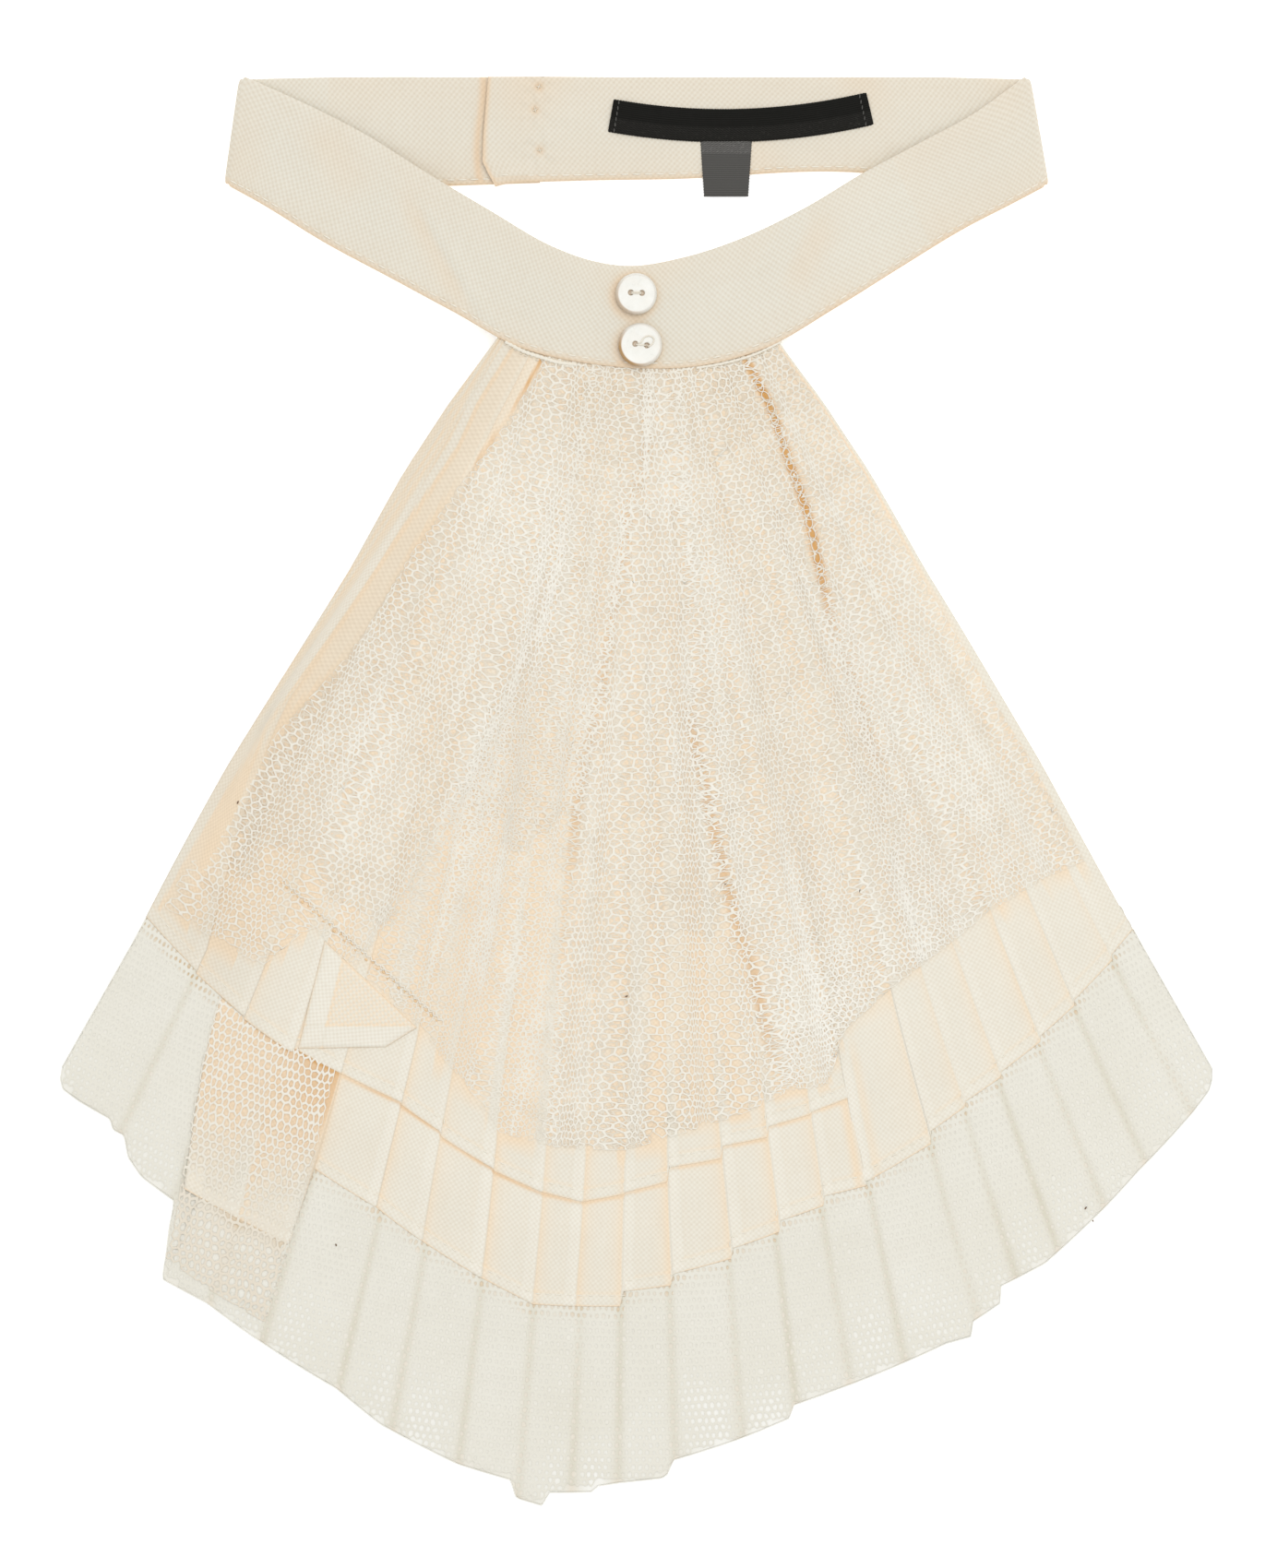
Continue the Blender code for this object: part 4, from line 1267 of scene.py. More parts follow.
def corner_flap():
    """The short cloth's turned corner: a flat of cloth, doubled along its two hems, whose edges
    bend down to what it lies on."""
    corners = np.array([(-67.6, -32.6), (-73.4, -56.0), (-54.4, -55.6), (-47.6, -51.4)])
    share = np.concatenate([[0.0, 0.015, 0.04], np.linspace(0.07, 0.93, 90), [0.96, 0.985, 1.0]])
    across, down = share[None, :, None], share[:, None, None]
    plan = ((corners[0] * (1 - across) + corners[3] * across) * (1 - down)
            + (corners[1] * (1 - across) + corners[2] * across) * down)
    x, y = plan[..., 0], plan[..., 1]
    from_left = (x + 73.4) - (y + 56.0) * 5.8 / 23.4
    from_below = y + 56.0
    doubled = np.maximum(fall(from_left, 4.4, 4.8), fall(from_below, 4.6, 5.0))
    rim = np.minimum(np.minimum(share, 1 - share)[None], np.minimum(share, 1 - share)[:, None])
    z = cloth_top(x, y) + 0.42 - 0.34 * fall(rim, 0.0, 0.06) + 0.12 * doubled
    z = z + 0.05 * ripple(x, y, 9.0, SEED + 71)
    crease = bell(from_left - 5.1, 0.35) + bell(from_below - 5.2, 0.35)
    mesh = 0.45 * np.sin(x * 5.0) * np.sin(y * 4.4 + x * 1.6)
    # Peach with a mesh pattern inside the hems, paler where the cloth is doubled; painted shade in the hems'
    # creases and along the edges where they meet the cloth below.
    shade = (0.40 + mesh) * (1 - doubled) + 0.5 * crease - 0.45 * doubled + 1.2 * fall(rim, 0.0, 0.035)
    points, faces = point_rows(x, y, z), grid_faces(*x.shape)
    piece = add_piece("corner_flap_shell", points, faces, "cloth", ("corner_flap",),
                      plan @ TURN_45, {"shade": shade, "painted_shadow": 0 * x}, 0.2)


# ---------------------------------------------------------------- neckband

BAND_WALL = 1.0
BAND_TOP = 154.8
FOLD_RADIUS = 0.75
BACK_MIDDLE = 0.58
# (upper x, upper y, lower x, lower y, height of the upper edge, of the lower edge)
FRONT = [(-85.0, 154.8, -88.2, 131.0, 2.1, 2.1), (-72.0, 149.0, -81.0, 127.0, 2.1, 2.1),
         (-58.0, 141.8, -67.0, 118.4, 2.4, 2.7), (-46.0, 134.2, -54.0, 111.4, 3.2, 4.1),
         (-32.0, 125.8, -40.0, 103.8, 4.3, 5.9), (-18.2, 117.8, -24.0, 95.4, 5.3, 6.1),
         (-10.0, 114.8, -13.0, 92.8, 5.4, 6.1), (-0.8, 113.6, 0.0, 91.4, 5.4, 6.1),
         (10.0, 115.4, 13.0, 91.8, 5.4, 6.1), (21.8, 119.2, 27.0, 95.4, 5.3, 6.1),
         (36.4, 126.2, 43.0, 104.4, 4.4, 5.9), (49.0, 133.8, 57.0, 113.2, 3.2, 4.1),
         (62.0, 140.8, 71.0, 121.8, 2.4, 2.7), (73.0, 146.8, 81.0, 127.0, 2.1, 2.1),
         (84.2, 154.8, 88.2, 130.8, 2.1, 2.1)]
# (upper x, lower x, lower y, height of the middle)
BACK_LEFT = [(-21.0, -21.0, 131.8, 0.6), (-40.0, -40.0, 131.2, 0.6), (-64.0, -64.0, 131.0, 0.6)]
BACK_RIGHT = [(64.0, 66.0, 132.2, 0.6), (49.0, 49.0, 134.0, 0.6), (6.0, 6.0, 132.6, 0.64),
              (-9.0, -9.0, 132.4, 0.76), (-18.0, -18.0, 132.2, 1.65), (-33.6, -33.2, 132.4, 1.65)]
# (share of the height, shift of the end)
LAP_EDGE = [(0.0, 2.6), (0.1, 1.0), (0.2, -0.2), (0.45, 0.1), (1.0, 1.4)]
BAND_STATIONS = 900
BAND_HEIGHT = 22.4
LAP_SHARE = 0.12         # share of the band's length that is its lapped left back
BACK_SHARE = 0.6         # share of its length at which the right back begins
TOPSTITCH = 2.6          # from one stitch of the band's lower edge to the next
# Soft creases: (x and y of one end, x and y of the other, width, rise)
CREASES = [(-47, 128, -31, 100, 1.6, 0.35), (-50, 129, -36, 104, 3.0, -0.30), (36, 126, 28, 111, 2.2, 0.30),
           (42, 124, 33, 108, 3.5, -0.25), (80, 149, 74, 139, 3.0, 0.30), (-70, 145, -60, 128, 5.0, -0.20),
           (-22, 143, -27, 139, 1.0, 0.25), (-22, 134, -29, 133, 0.9, 0.30), (-19, 145, -12, 147, 1.2, 0.20)]


def crease_height(x, y):
    """Ridges and troughs: rise times a bell across the line between a crease's ends, fading
    towards both."""
    total = np.zeros_like(x)
    for ax, ay, bx, by, width, rise in CREASES:
        along_x, along_y = bx - ax, by - ay
        length = math.hypot(along_x, along_y)
        share = ((x - ax) * along_x + (y - ay) * along_y) / length**2
        off = ((x - ax) * along_y - (y - ay) * along_x) / length
        total += rise * bell(off, width) * step(share, -0.15, 0.3) * fall(share, 0.7, 1.15)
    return total


def side_fold(upper, lower, side):
    """Stations round a flat side fold: half a circle that bulges outward by the fold's radius,
    with the strip's corners eased in."""
    stations = []
    for turn in np.radians(np.linspace(-75.0, 75.0, 11)):
        out = side * FOLD_RADIUS * math.cos(turn)
        height = BACK_MIDDLE + FOLD_RADIUS * (1 + math.sin(turn))
        stations.append((upper[0] + out, upper[1] - 0.5, height, lower[0] + out, lower[1] + 0.6, height))
    return stations


def band_line():
    """The band's course: upper and lower edge points of its middle surface. The front is a smooth
    curve, the backs run straight, and the whole is cut into even steps."""
    front = smooth_line([(ux, uy, uz, lx, ly, lz) for ux, uy, lx, ly, uz, lz in FRONT], 400)
    left = np.array([(ux, BAND_TOP, z, lx, ly, z) for ux, lx, ly, z in BACK_LEFT])
    right = smooth_line([(ux, BAND_TOP, z, lx, ly, z) for ux, lx, ly, z in BACK_RIGHT], 120)
    stations = np.concatenate([left, side_fold(front[0, :2], front[0, 3:5], -1), front,
                               side_fold(front[-1, :2], front[-1, 3:5], 1)[::-1], right])
    at = distances(stations)
    return sampled(stations, at, np.linspace(0.0, at[-1], BAND_STATIONS))


def band_surface(line, v, lift=0.0):
    """Points at shares v of the band's height and lift above its face, with the face's normal."""
    upper, lower = line[:, :3], line[:, 3:]
    course = np.gradient((upper + lower) / 2, axis=0)
    normal = np.cross(course, upper - lower)
    normal /= np.linalg.norm(normal, axis=1, keepdims=True)
    v = np.asarray(v)
    flat = lower[:, None] + (upper - lower)[:, None] * v[..., None]
    return flat + normal[:, None] * np.asarray(lift)[..., None], normal


def neckband():
    """The band: a flat loop section, rounded at both edges, carried along its course."""
    line = band_line()
    run = distances((line[:, :3] + line[:, 3:]) / 2)
    half = 0.5 - 0.5 * np.cos(np.pi * np.arange(49) / 48)
    v = np.concatenate([half, half[-2:0:-1]])[None]
    side = np.concatenate([np.ones(49), -np.ones(47)])[None]
    edge = (1 - np.abs(2 * v - 1) ** 14) ** 0.5
    lift = side * edge * BAND_WALL / 2
    shape = (len(line), v.shape[1])
    flat, normal = band_surface(line, np.broadcast_to(v, shape), np.broadcast_to(lift, shape))
    x, y = flat[..., 0], flat[..., 1]
    facing = np.broadcast_to(side, x.shape) * np.sign(normal[:, 2:3] + 1e-6)
    outer = np.clip(facing, 0, 1) * np.abs(normal[:, 2:3])
    along = run[:, None]
    pucker = 0.10 * bell(v - 0.055, 0.03) * (0.4 + ripple(along, 0 * along, 4.5, SEED + 2))
    press = -0.10 * bell(v - 0.055, 0.012)
    station = np.arange(len(line))[:, None]
    lap = station < len(line) * LAP_SHARE
    back = (station > len(line) * BACK_SHARE) | lap
    wave = 0.10 * ripple(x, y, 28.0, SEED + 6) + 0.03 * ripple(x, y, 7.0, SEED + 7)
    at_end = np.exp(-(run[-1] - along) / 6.0)
    x += at_end * table_line(LAP_EDGE, v)
    y -= at_end * 1.5 * (1 - v) ** 6
    flat[..., 2] += outer * (crease_height(x, y) + pucker + press + wave + back * tack_height(x, y))
    middle = np.array([(line[0, :3] + line[0, 3:]) / 2, (line[-1, :3] + line[-1, 3:]) / 2])
    columns = v.shape[1]
    points = np.concatenate([flat.reshape(-1, 3), middle])
    quads = grid_faces(len(line), columns, closed=True)
    cloth_map = np.stack(np.broadcast_arrays(along, v * BAND_HEIGHT), axis=-1)
    # Tone: random peach patches, and a little darker on the back.
    shade = 0.10 + 0.3 * step(ripple(x, y, 34.0, SEED + 13), 0.2, 1.2) + 0.10 * back
    # Painted peach shade along the lower edge and by the topstitching, a little paler along the middle.
    shade = shade + 0.9 * bell(v, 0.03) + 0.35 * bell(v - 0.05, 0.012) - 0.12 * bell(v - 0.5, 0.3)
    # Painted shade in the creases' troughs and painted highlight on their ridges, on the front.
    crease = crease_height(x, y)
    shade = shade + (1 - back) * (1.1 * np.clip(-crease, 0, 1) - 0.6 * np.clip(crease, 0, 1))
    # Painted shadow round the buttons: (x, y, radius, strength).
    for at_x, at_y, radius, much in ((-0.1, 107.4, 4.5, 0.75), (0.8, 96.4, 4.75, 0.55)):
        from_rim = np.hypot(x - at_x + 0.5, y - at_y + 0.5) - radius
        shade = shade + (1 - back) * much * bell(from_rim, 1.1)
    # Painted shadow beside the lap's edge and on the lap's end.
    shade = shade + lap * 0.9 * bell(x + 33.9 + 0.7 * np.sin(v * 5.0), 0.9)
    shade = shade + 1.1 * bell(run[-1] - along, 0.8)
    # Painted shade in the tacks' dimples.
    tack = sum(np.exp(-((x - at_x) ** 2 + (y - at_y) ** 2) / 0.9) for at_x, at_y, _ in TACKS)
    shade = shade + 0.8 * tack * back
    hub = np.full(columns, len(points) - 2)
    first, last = np.arange(columns), np.arange(columns) + (len(line) - 1) * columns
    caps = np.concatenate([np.stack([hub, first, np.roll(first, -1)], axis=-1),
                           np.stack([hub + 1, np.roll(last, -1), last], axis=-1)])
    faces = quads[:, ::-1].tolist() + caps.tolist()
    mesh_map = np.concatenate([cloth_map.reshape(-1, 2), [[0.0, 11.0], [run[-1], 11.0]]])
    piece = add_piece("neckband_twill", points, faces, "twill", ("neckband",), mesh_map,
                      {"shade": np.append(shade.ravel(), [0.0, 0.0])})
    return piece, line, run


def topstitching(line, run):
    """Stitches near the band's lower edge, all the way along it."""
    at = np.arange(4.0, run[-1] - 4.0, TOPSTITCH)
    stations = np.interp(at, run, np.arange(len(run)))
    low = np.floor(stations).astype(int)
    column = np.ones((len(line), 1))
    places, normal = band_surface(line, column * 0.052, column * (BAND_WALL / 2 - 0.02))
    course = np.gradient(places[:, 0], axis=0)
    up = normal[low] * np.sign(normal[low][:, 2:3] + 1e-6)
    spots = places[low, 0] + np.where(normal[low][:, 2:3] < 0, -1, 0) * normal[low] * (BAND_WALL - 0.04)
    keep = np.abs(normal[low][:, 2]) > 0.5
    stitches = scattered(stitch_shape(1.9, 0.36, 0.04), spots[keep], course[low][keep], up[keep])
    return add_thread("topstitching", stitches)


# ---------------------------------------------------------------- label, tab and buttons

LABEL_ENDS = ((-5.6, 146.4), (50.6, 147.9))
LABEL_SAG = 2.9
LABEL_LENGTH = 56.6
LABEL_HEIGHT = 7.2
TAB_MAP = (10.4, 12.5)
TAB = np.array([(13.8, 141.4), (14.6, 128.8), (24.2, 128.8), (25.0, 141.3)])


def label_place(u, v):
    """A point of the label: u along it from 0 to 1 and v across it from -1 to 1. Its middle
    bows 4 s u (1 - u) below the line between its ends."""
    (ax, ay), (bx, by) = LABEL_ENDS
    x = ax + (bx - ax) * u
    y = ay + (by - ay) * u - 4 * LABEL_SAG * u * (1 - u)
    slope = (by - ay - 4 * LABEL_SAG * (1 - 2 * u)) / (bx - ax)
    half = LABEL_HEIGHT / 2 + 0.05 * np.sin(2 * math.pi * x / 0.6)
    long = np.sqrt(1 + slope**2)
    z = 1.75 - 0.40 * np.abs(v) ** 10 - 0.35 * np.abs(2 * u - 1) ** 40
    z = z + 0.05 * ripple(x, 0 * x, 9.0, SEED + 91)
    return x - slope / long * v * half, y + v * half / long, z + 0.10 * (1 - v**2)


def label():
    """The woven label and the stitches across its two ends."""
    u = np.broadcast_to(np.linspace(0.0, 1.0, 300)[None], (28, 300))
    v = np.broadcast_to(np.sin(np.linspace(0.5, -0.5, 28) * math.pi)[:, None], (28, 300))
    run = np.stack([u * LABEL_LENGTH, (v + 1) * LABEL_HEIGHT / 2], axis=-1)
    made = add_piece("label_weave", point_rows(*label_place(u, v)), grid_faces(28, 300), "label",
                     ("label",), run, thickness=0.3)
    row = np.linspace(-0.85, 0.85, 6)
    ends = np.concatenate([np.stack(label_place(np.full(6, at), row), axis=-1) for at in (0.022, 0.972)])
    points, faces = scattered(stitch_shape(0.95, 0.26, 0.03), ends, (0.02, 1.0, 0.0))
    sewn = add_piece("label_stitches", points, faces, "tab", run=np.zeros((len(points), 2)))
    return [made, sewn]


def tab():
    """The size tab: a folded loop of ribbon that hangs from under the label, its fold rounded."""
    u = np.linspace(0.0, 1.0, 60)[None]
    v = np.linspace(0.0, 1.0, 90)[:, None]
    left = TAB[0] + (TAB[1] - TAB[0]) * v[..., None]
    right = TAB[3] + (TAB[2] - TAB[3]) * v[..., None]
    plan = left + (right - left) * u[..., None]
    side = 0.06 * np.sin(v * 130.0) * (u - 0.5) * 2
    z = 1.45 + 0.12 * step(v, 0.1, 0.5) - 0.35 * v**14 - 0.22 * np.abs(2 * u - 1) ** 14
    z = z + 0.05 * np.sin(u * 3.0 + v * 4.0)
    points = point_rows(plan[..., 0] + side, plan[..., 1], z)
    run = np.stack(np.broadcast_arrays(u * TAB_MAP[0], v * TAB_MAP[1]), axis=-1)
    return add_piece("size_tab_weave", points, grid_faces(90, 60), "tab", ("size_tab",), run,
                     thickness=0.3)


BUTTON_FALL = (5.4 - 6.1) / (113.6 - 91.4)    # the band's slope where the buttons sit


def button(name, node, centre, radius, holes, edge_brown_and_shade):
    """A two-hole shell button: a profile turned about its axis, with a flat face and two pits. The
    last argument browns its edge: the shell's own brown all round, and painted shade most at the
    lower left."""
    middle = np.linspace(0.12, radius - 0.7, 34)
    rim = [(radius - 0.56, 1.93), (radius - 0.44, 1.89), (radius - 0.32, 1.80), (radius - 0.2, 1.66),
           (radius - 0.08, 1.45), (radius, 1.15), (radius, 0.6), (radius - 0.15, 0.2), (radius - 0.5, 0.0),
           (radius * 0.5, 0.0)]
    profile = np.array([(at, 1.88 + 0.06 * (at / radius) ** 2) for at in middle] + rim)
    turn = full_turn(96)
    r, t = np.broadcast_arrays(profile[:, :1], turn[None])
    x, y = r * np.cos(t), r * np.sin(t)
    z = np.broadcast_to(profile[:, 1:], r.shape).copy()
    pits = np.zeros_like(z)
    for hole_x, hole_y in holes:
        near = np.hypot(x - hole_x, y - hole_y)
        z -= 0.6 * fall(near, 0.44, 0.66) * (z > 1.4)
        pits += fall(near, 0.50, 0.74)
    rows, sides = r.shape
    points = np.concatenate([point_rows(x, y, z), [(0.0, 0.0, 1.88), (0.0, 0.0, 0.0)]])
    # Painted shade: the edge's brown is strongest at the lower left, and the pits are painted darker.
    lower_left = 0.10 + 0.90 * np.clip(np.cos(t - 1.2 * math.pi), 0, 1)
    shade = edge_brown_and_shade * step(r, radius - 0.85, radius - 0.45) * lower_left
    shade = shade + 0.62 * np.clip(pits, 0, 1) * (r < radius * 0.6)
    inner, outer = np.arange(sides), np.arange(sides) + (rows - 1) * sides
    top, bottom = rows * sides, rows * sides + 1
    faces = grid_faces(rows, sides, closed=True).tolist()
    faces += [[top, a, b] for a, b in zip(inner.tolist(), np.roll(inner, -1).tolist())]
    faces += [[bottom, b, a] for a, b in zip(outer.tolist(), np.roll(outer, -1).tolist())]
    return add_piece(name, seated(points, centre), faces, "shell", (node,), None,
                     {"shade": np.append(shade.ravel(), [0.0, edge_brown_and_shade])})


def seated(points, centre):
    """Moves points from a button's own axes to its seat on the band, which slopes."""
    seat = 6.1 + BUTTON_FALL * (centre[1] - 91.4) + 0.5
    x, y, z = np.asarray(points, dtype=float).T
    return np.stack([x + centre[0], y + centre[1], z + seat + BUTTON_FALL * y], axis=-1)


def button_thread(name, centre, strands):
    """The thread that holds a button: strands that rise from one hole and go down another."""
    parts = [tube(seated(smooth_line(strand, 40), centre), 0.15, 7) for strand in strands]
    return add_thread(name, joined(parts), 0.12)


def buttons():
    """The two shell buttons, and the threads across and round them that hold them."""
    upper, lower = (-0.1, 107.45), (0.8, 96.4)
    button("button_upper_shell", "button_upper", upper, 4.5, [(-1.15, 0.25), (1.25, 0.15)], 0.65)
    button("button_lower_shell", "button_lower", lower, 4.75, [(-1.1, 0.2), (1.4, -0.15)], 1.15)
    bars = [[(-1.15, shift, 1.0), (-0.85, shift, 1.85), (0.0, shift, 2.05), (0.9, shift, 1.85),
             (1.25, shift, 1.0)] for shift in (0.05, 0.36)]
    button_thread("button_thread_upper", upper, bars)
    loop = [(1.4, -0.2, 1.0), (1.9, -0.3, 2.0), (2.7, 0.3, 2.1), (2.9, 1.3, 2.1), (2.0, 1.9, 2.1),
            (0.8, 1.5, 2.08), (0.1, 0.5, 2.05), (-1.1, 0.3, 1.0)]
    bar = [(-1.1, 0.1, 1.0), (-0.7, 0.0, 1.85), (0.1, -0.05, 2.05), (1.0, -0.1, 1.85), (1.4, -0.15, 1.0)]
    button_thread("button_thread_lower", lower, [loop, bar])


# ---------------------------------------------------------------- seam, tacks and specks

PIPING_LEFT = [(-28.4, 97.2, 5.85), (-24.5, 95.1, 5.95), (-21.0, 93.9, 6.0), (-17.5, 92.8, 6.0),
               (-13.0, 92.2, 5.9)]
PIPING_RIGHT = [(13.0, 91.5, 5.9), (19.0, 92.5, 6.0), (25.5, 94.4, 5.95), (31.4, 97.2, 5.85)]
TACKS = [(-22.0, 147.6, 0.5), (-21.0, 138.8, 1.9), (-21.2, 152.6, 3.0)]     # x, y and how it is turned


def seam_piping():
    """The gathered seam's roll where it shows under the band, twisted like cord, and the stitches
    below it."""
    cords = []
    for line, radius in ((PIPING_LEFT, 0.45), (PIPING_RIGHT, 0.28)):
        path = smooth_line(line, 160)
        cords.append(tube(path, radius * (1 + 0.16 * np.sin(np.arange(160) * 0.62)), 8))
    piping = add_thread("seam_piping", joined(cords))
    spots = []
    for line, count, below in ((PIPING_LEFT, 13, 0.75), (PIPING_RIGHT, 12, 0.55)):
        path = smooth_line(line, count + 1)[:-1]
        path[:, 1] -= below + 0.15 * np.sin(np.arange(count) * 2.3)
        path[:, 2] += 0.05
        spots.append(path)
    spots = np.concatenate(spots)
    stitches = scattered(stitch_shape(0.8, 0.34, 0.03), spots, (1.0, -0.35, 0.0))
    return [piping, add_thread("seam_stitches", stitches, 0.35)]


def tack_height(x, y):
    """Each tack pulls in a dimple, ringed by five short ridges."""
    total = np.zeros_like(x)
    for at_x, at_y, turned in TACKS:
        away = np.hypot(x - at_x, y - at_y)
        round_it = np.arctan2(y - at_y, x - at_x)
        total -= 0.40 * bell(away, 1.1)
        total += 0.20 * np.cos(5 * round_it + turned) * bell(away - 2.4, 1.4)
    return total


def tack_threads():
    """Two short crossed stitches at each tack."""
    spots = np.array([(x, y, 2.05) for x, y, _ in TACKS for _ in range(2)])
    courses = np.array([(math.cos(turn + extra), math.sin(turn + extra), 0.0)
                        for _, _, turn in TACKS for extra in (0.0, 1.3)])
    return add_thread("tack_threads", scattered(stitch_shape(1.5, 0.30, 0.05), spots, courses), 0.35)


def specks():
    """A few flecks of brown lint on the lace and the frill."""
    # x, y, length and course
    flecks = [(-2.2, -44.6, 0.7, 0.4), (-86.4, -2.6, 0.8, 1.2), (-65.2, -98.6, 0.6, 2.0),
              (97.4, -90.6, 0.8, 0.9), (99.0, -93.4, 0.5, 2.2)]
    parts = []
    for x, y, long, turn in flecks:
        height = frill_height(SPECK_LEVEL) if y < -80 else lace_height(0.24, 0.10)
        at = np.array([[x, y, float(height(np.array([x]), np.array([y]))[0])]])
        parts.append(scattered(stitch_shape(long, 0.32, 0.02), at, [(math.cos(turn), math.sin(turn), 0.0)]))
    points, faces = joined(parts)
    return add_piece("specks", points, faces, "speck")


# ---------------------------------------------------------------- stage

FLOOR_HALF = 1500.0
WHITE = (1.0, 1.0, 1.0, 1.0)
FLOOR_GLOW = 0.4
SKY_STRENGTH = 0.82
LAMP_PLACE = (0.22, 0.42, 1.2)       # metres
LAMP_WIDTH = 0.9                     # metres
LAMP_POWER = 5.9                     # watts


def stage():
    """A plain pale floor, soft light from all round and a broad lamp above."""
    floor_mesh = bpy.data.meshes.new("floor")
    size = FLOOR_HALF
    corners = np.array([(-size, -size, 0), (size, -size, 0), (size, size, 0), (-size, size, 0)]) * METRES
    floor_mesh.from_pydata(corners.tolist(), [], [(0, 1, 2, 3)])
    floor = bpy.data.objects.new("floor", floor_mesh)
    bpy.context.scene.collection.objects.link(floor)
    made = Finish("floor", 0.9, Emission_Strength=FLOOR_GLOW, Emission_Color=WHITE)
    made.colour(made.mix(made.noise(300.0), (0.94, 0.94, 0.94), (0.96, 0.96, 0.96)))
    floor_mesh.materials.append(made.material)

    world = bpy.data.worlds.new("studio")
    world.use_nodes = True
    world.node_tree.nodes["Background"].inputs["Color"].default_value = WHITE
    world.node_tree.nodes["Background"].inputs["Strength"].default_value = SKY_STRENGTH
    bpy.context.scene.world = world

    lamp = bpy.data.lights.new("lamp", "AREA")
    lamp.shape = "SQUARE"
    lamp.size = LAMP_WIDTH
    lamp.energy = LAMP_POWER
    holder = bpy.data.objects.new("lamp", lamp)
    holder.location = LAMP_PLACE
    x, y, z = LAMP_PLACE
    holder.rotation_euler = (-math.atan2(y, z), math.atan2(x, z), 0.0)
    bpy.context.scene.collection.objects.link(holder)


def camera():
    """Straight overhead, at the height where the frame's height fills the sensor."""
    data = bpy.data.cameras.new("camera")
    data.lens = LENS
    data.sensor_width = SENSOR
    data.clip_start = 0.05
    holder = bpy.data.objects.new("camera", data)
    height = FRAME_HEIGHT * LENS / SENSOR + SHARP_LEVEL
    holder.location = (FRAME_MIDDLE[0] * METRES, FRAME_MIDDLE[1] * METRES, height * METRES)
    bpy.context.scene.collection.objects.link(holder)
    bpy.context.scene.camera = holder
    bpy.context.scene.view_settings.view_transform = "Standard"


def short_tint(x, y, angle, reach):
    """Painted peach shade where the short cloth shows through the lace and down its left strip, and
    along the strip's tucks painted shade beside pale doubled folds with a painted highlight.
    """
    under = in_lace(x, y, -1.0).astype(float)
    strip = (1 - under) * fall(reach, 150.0, 190.0) * 0.46
    left = 0.30 * bell(angle + 24.0, 4.5) * step(reach, 120.0, 150.0) * under
    gap = route_gap(FOLD_BAND, x, y)
    tuck = 1.15 * bell(gap - 1.25, 0.38) - 1.0 * bell(gap, 0.95, 4)
    for place, much in ((-3.4, 0.55), (-2.2, 0.5)):
        tuck += much * (bell(gap - place, 0.25) - 0.8 * bell(gap - place + 0.5, 0.3))
    tuck = tuck * fall(reach, 135.0, 172.0) * (1 - 0.7 * under)
    streak = 0.45 * ripple(angle * 5.0, reach / 9.0, 9.0, SEED + 81)
    return under * (0.78 + streak) + strip + left + tuck


def panel_tint(x, y, angle, reach):
    """Painted peach shade where the panel shows through the lace, painted amber shadow along its right
    side beside the lace, and low on its lapped left edge a painted highlight with shade beside it.
    """
    under = in_lace(x, y, -1.0).astype(float)
    side = bell(angle - 30.45, 0.22) * fall(reach, 100.0, 150.0)
    streak = 0.40 * ripple(angle * 5.0, reach / 9.0, 9.0, SEED + 82)
    low = step(reach, 205.0, 214.0) * (1 - under)
    fold = 0.5 * bell(angle - 12.85, 0.30) - 0.6 * fall(angle, 12.35, 12.7)
    return under * (0.66 + streak) + 1.1 * side + fold * low


def long_tint(x, y, angle, reach):
    """Painted shade: a tan line under the short cloth's hem, orange under the coarse net's upper end,
    and a line beside the right-hand panel's left edge.
    """
    below = reach - hem_reach(SHORT_HEM, angle)
    line = 0.9 * bell(below - 0.2, 0.6)
    coarse = fall(angle, -17.2, -16.9) * (1.30 - 1.22 * step(reach, 226.0, 256.0))
    beside = 0.9 * bell(angle - 11.75, 0.28)
    return line + coarse + beside


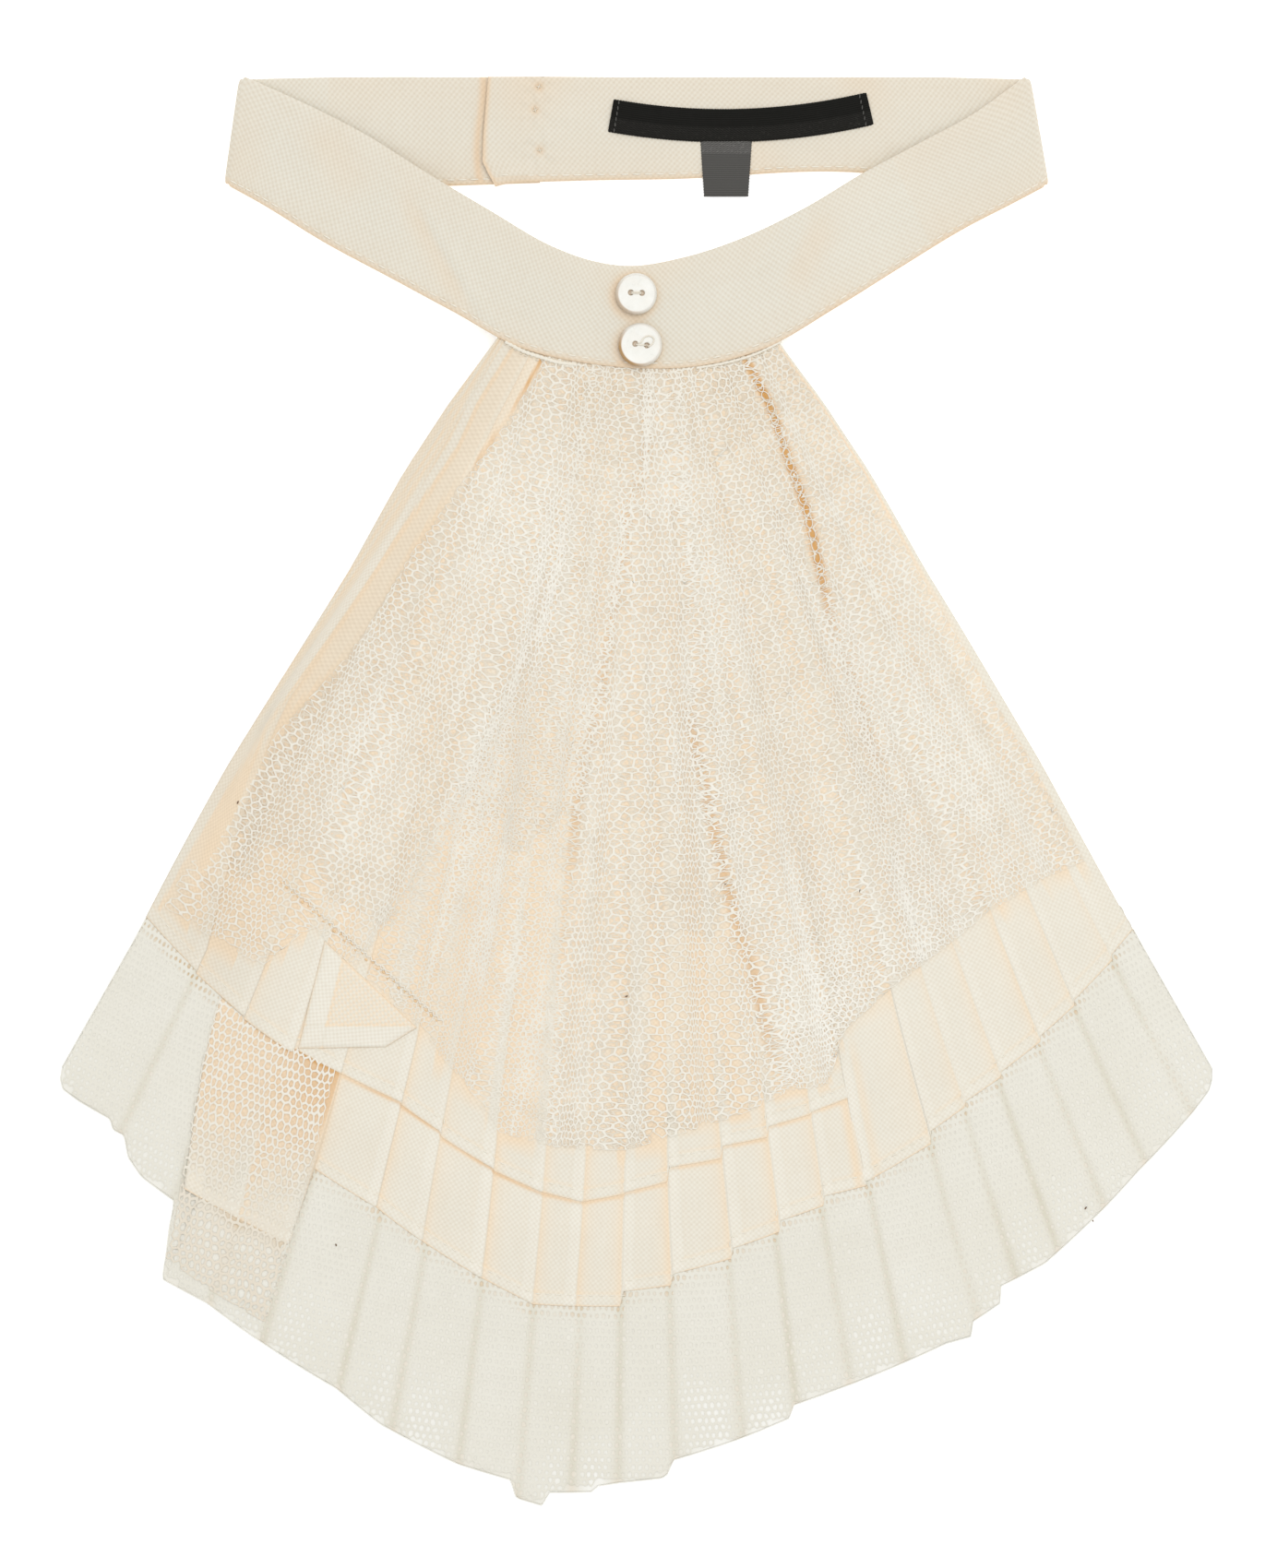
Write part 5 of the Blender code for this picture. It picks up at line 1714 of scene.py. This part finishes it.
def long_painted_shadow(x, y):
    """Painted amber shadow under the coarse net's upper right corner, and a thin line of it below the
    short hem.
    """
    angle, reach = nominal(x, y)
    below = reach - hem_reach(SHORT_HEM, angle)
    line = 0.55 * bell(below - 0.25, 0.45) * (0.7 + 0.4 * ripple(x, y, 14.0, SEED + 83))
    line = line * (1 - 0.7 * step(angle, -8.0, 0.0))
    under_net = (angle < -17.0) * fall(reach, 226.0, 248.0)
    return line + under_net * (0.10 + 0.45 * np.exp(-((x + 66.0) / 9.0) ** 2 - ((y + 62.0) / 12.0) ** 2))


def short_painted_shadow(x, y):
    """Painted amber shadow in the lace's gaps, and painted shade that darkens the cloth's left side."""
    angle, reach = nominal(x, y)
    dim_shade = 0.19 * fall(angle, -27.0, -20.0) * (1 - 0.35 * step(reach, 150.0, 200.0))
    return gap_depth(x, y) - dim_shade


# The pale doubled fold down the left strip: (reach, true angle)
FOLD_BAND = [(55, -27.6), (60, -28.0), (73, -28.8), (83, -28.2), (103, -29.3), (151, -31.0), (175, -31.4)]
STRIP_BEND = [(55, -3.0), (75, -1.5), (102, -1.1), (130, -1.9), (151, -2.6), (175, -1.6), (205, 0.0)]


def short_bend(angle, reach):
    """The first fold of the short cloth wanders towards the fan's left side."""
    weight = step(angle, -31.0, -27.0) * fall(angle, -26.9, -22.8)
    return weight * table_line(STRIP_BEND, reach)


camera()
stage()
lining_ply()
frill()
frill_gauze()
frill_rim()
pleated_cloth("long_cloth_shell", LONG_HEM, -22.5, 12.15, "long_cloth", long_level, painted_shadow=long_painted_shadow,
              tint=long_tint, bend=coarse_bend, turned=lambda angle: step(angle, -17.3, -17.0),
              fine=np.arange(11.2, 12.1, 0.14), cover=SHORT_HEM)
hem_stitches("long_hem_stitches", LONG_HEM, -17.0, 12.0, long_level)
coarse_net()
pleated_cloth("long_cloth_right_shell", LONG_RIGHT_HEM, 11.95, 31.0, "long_cloth_right", panel_level,
              painted_shadow=gap_depth, tint=panel_tint, fine=np.arange(12.0, 13.6, 0.14))
hem_stitches("panel_hem_stitches", LONG_RIGHT_HEM, 12.4, 30.8, panel_level)
pleated_cloth("short_cloth_shell", SHORT_HEM, -31.0, 12.1, "short_cloth", short_level, painted_shadow=short_painted_shadow,
              tint=short_tint, bend=short_bend, fine=np.arange(-30.9, -20.0, 0.12))
hem_stitches("short_hem_stitches", SHORT_HEM, -30.6, 11.6, short_level)
corner_flap()
lace()
slit_chain()
edge_row()
specks()
band, band_course, band_run = neckband()
on_band = [topstitching(band_course, band_run), tack_threads(), tab()] + label() + seam_piping()
buttons()
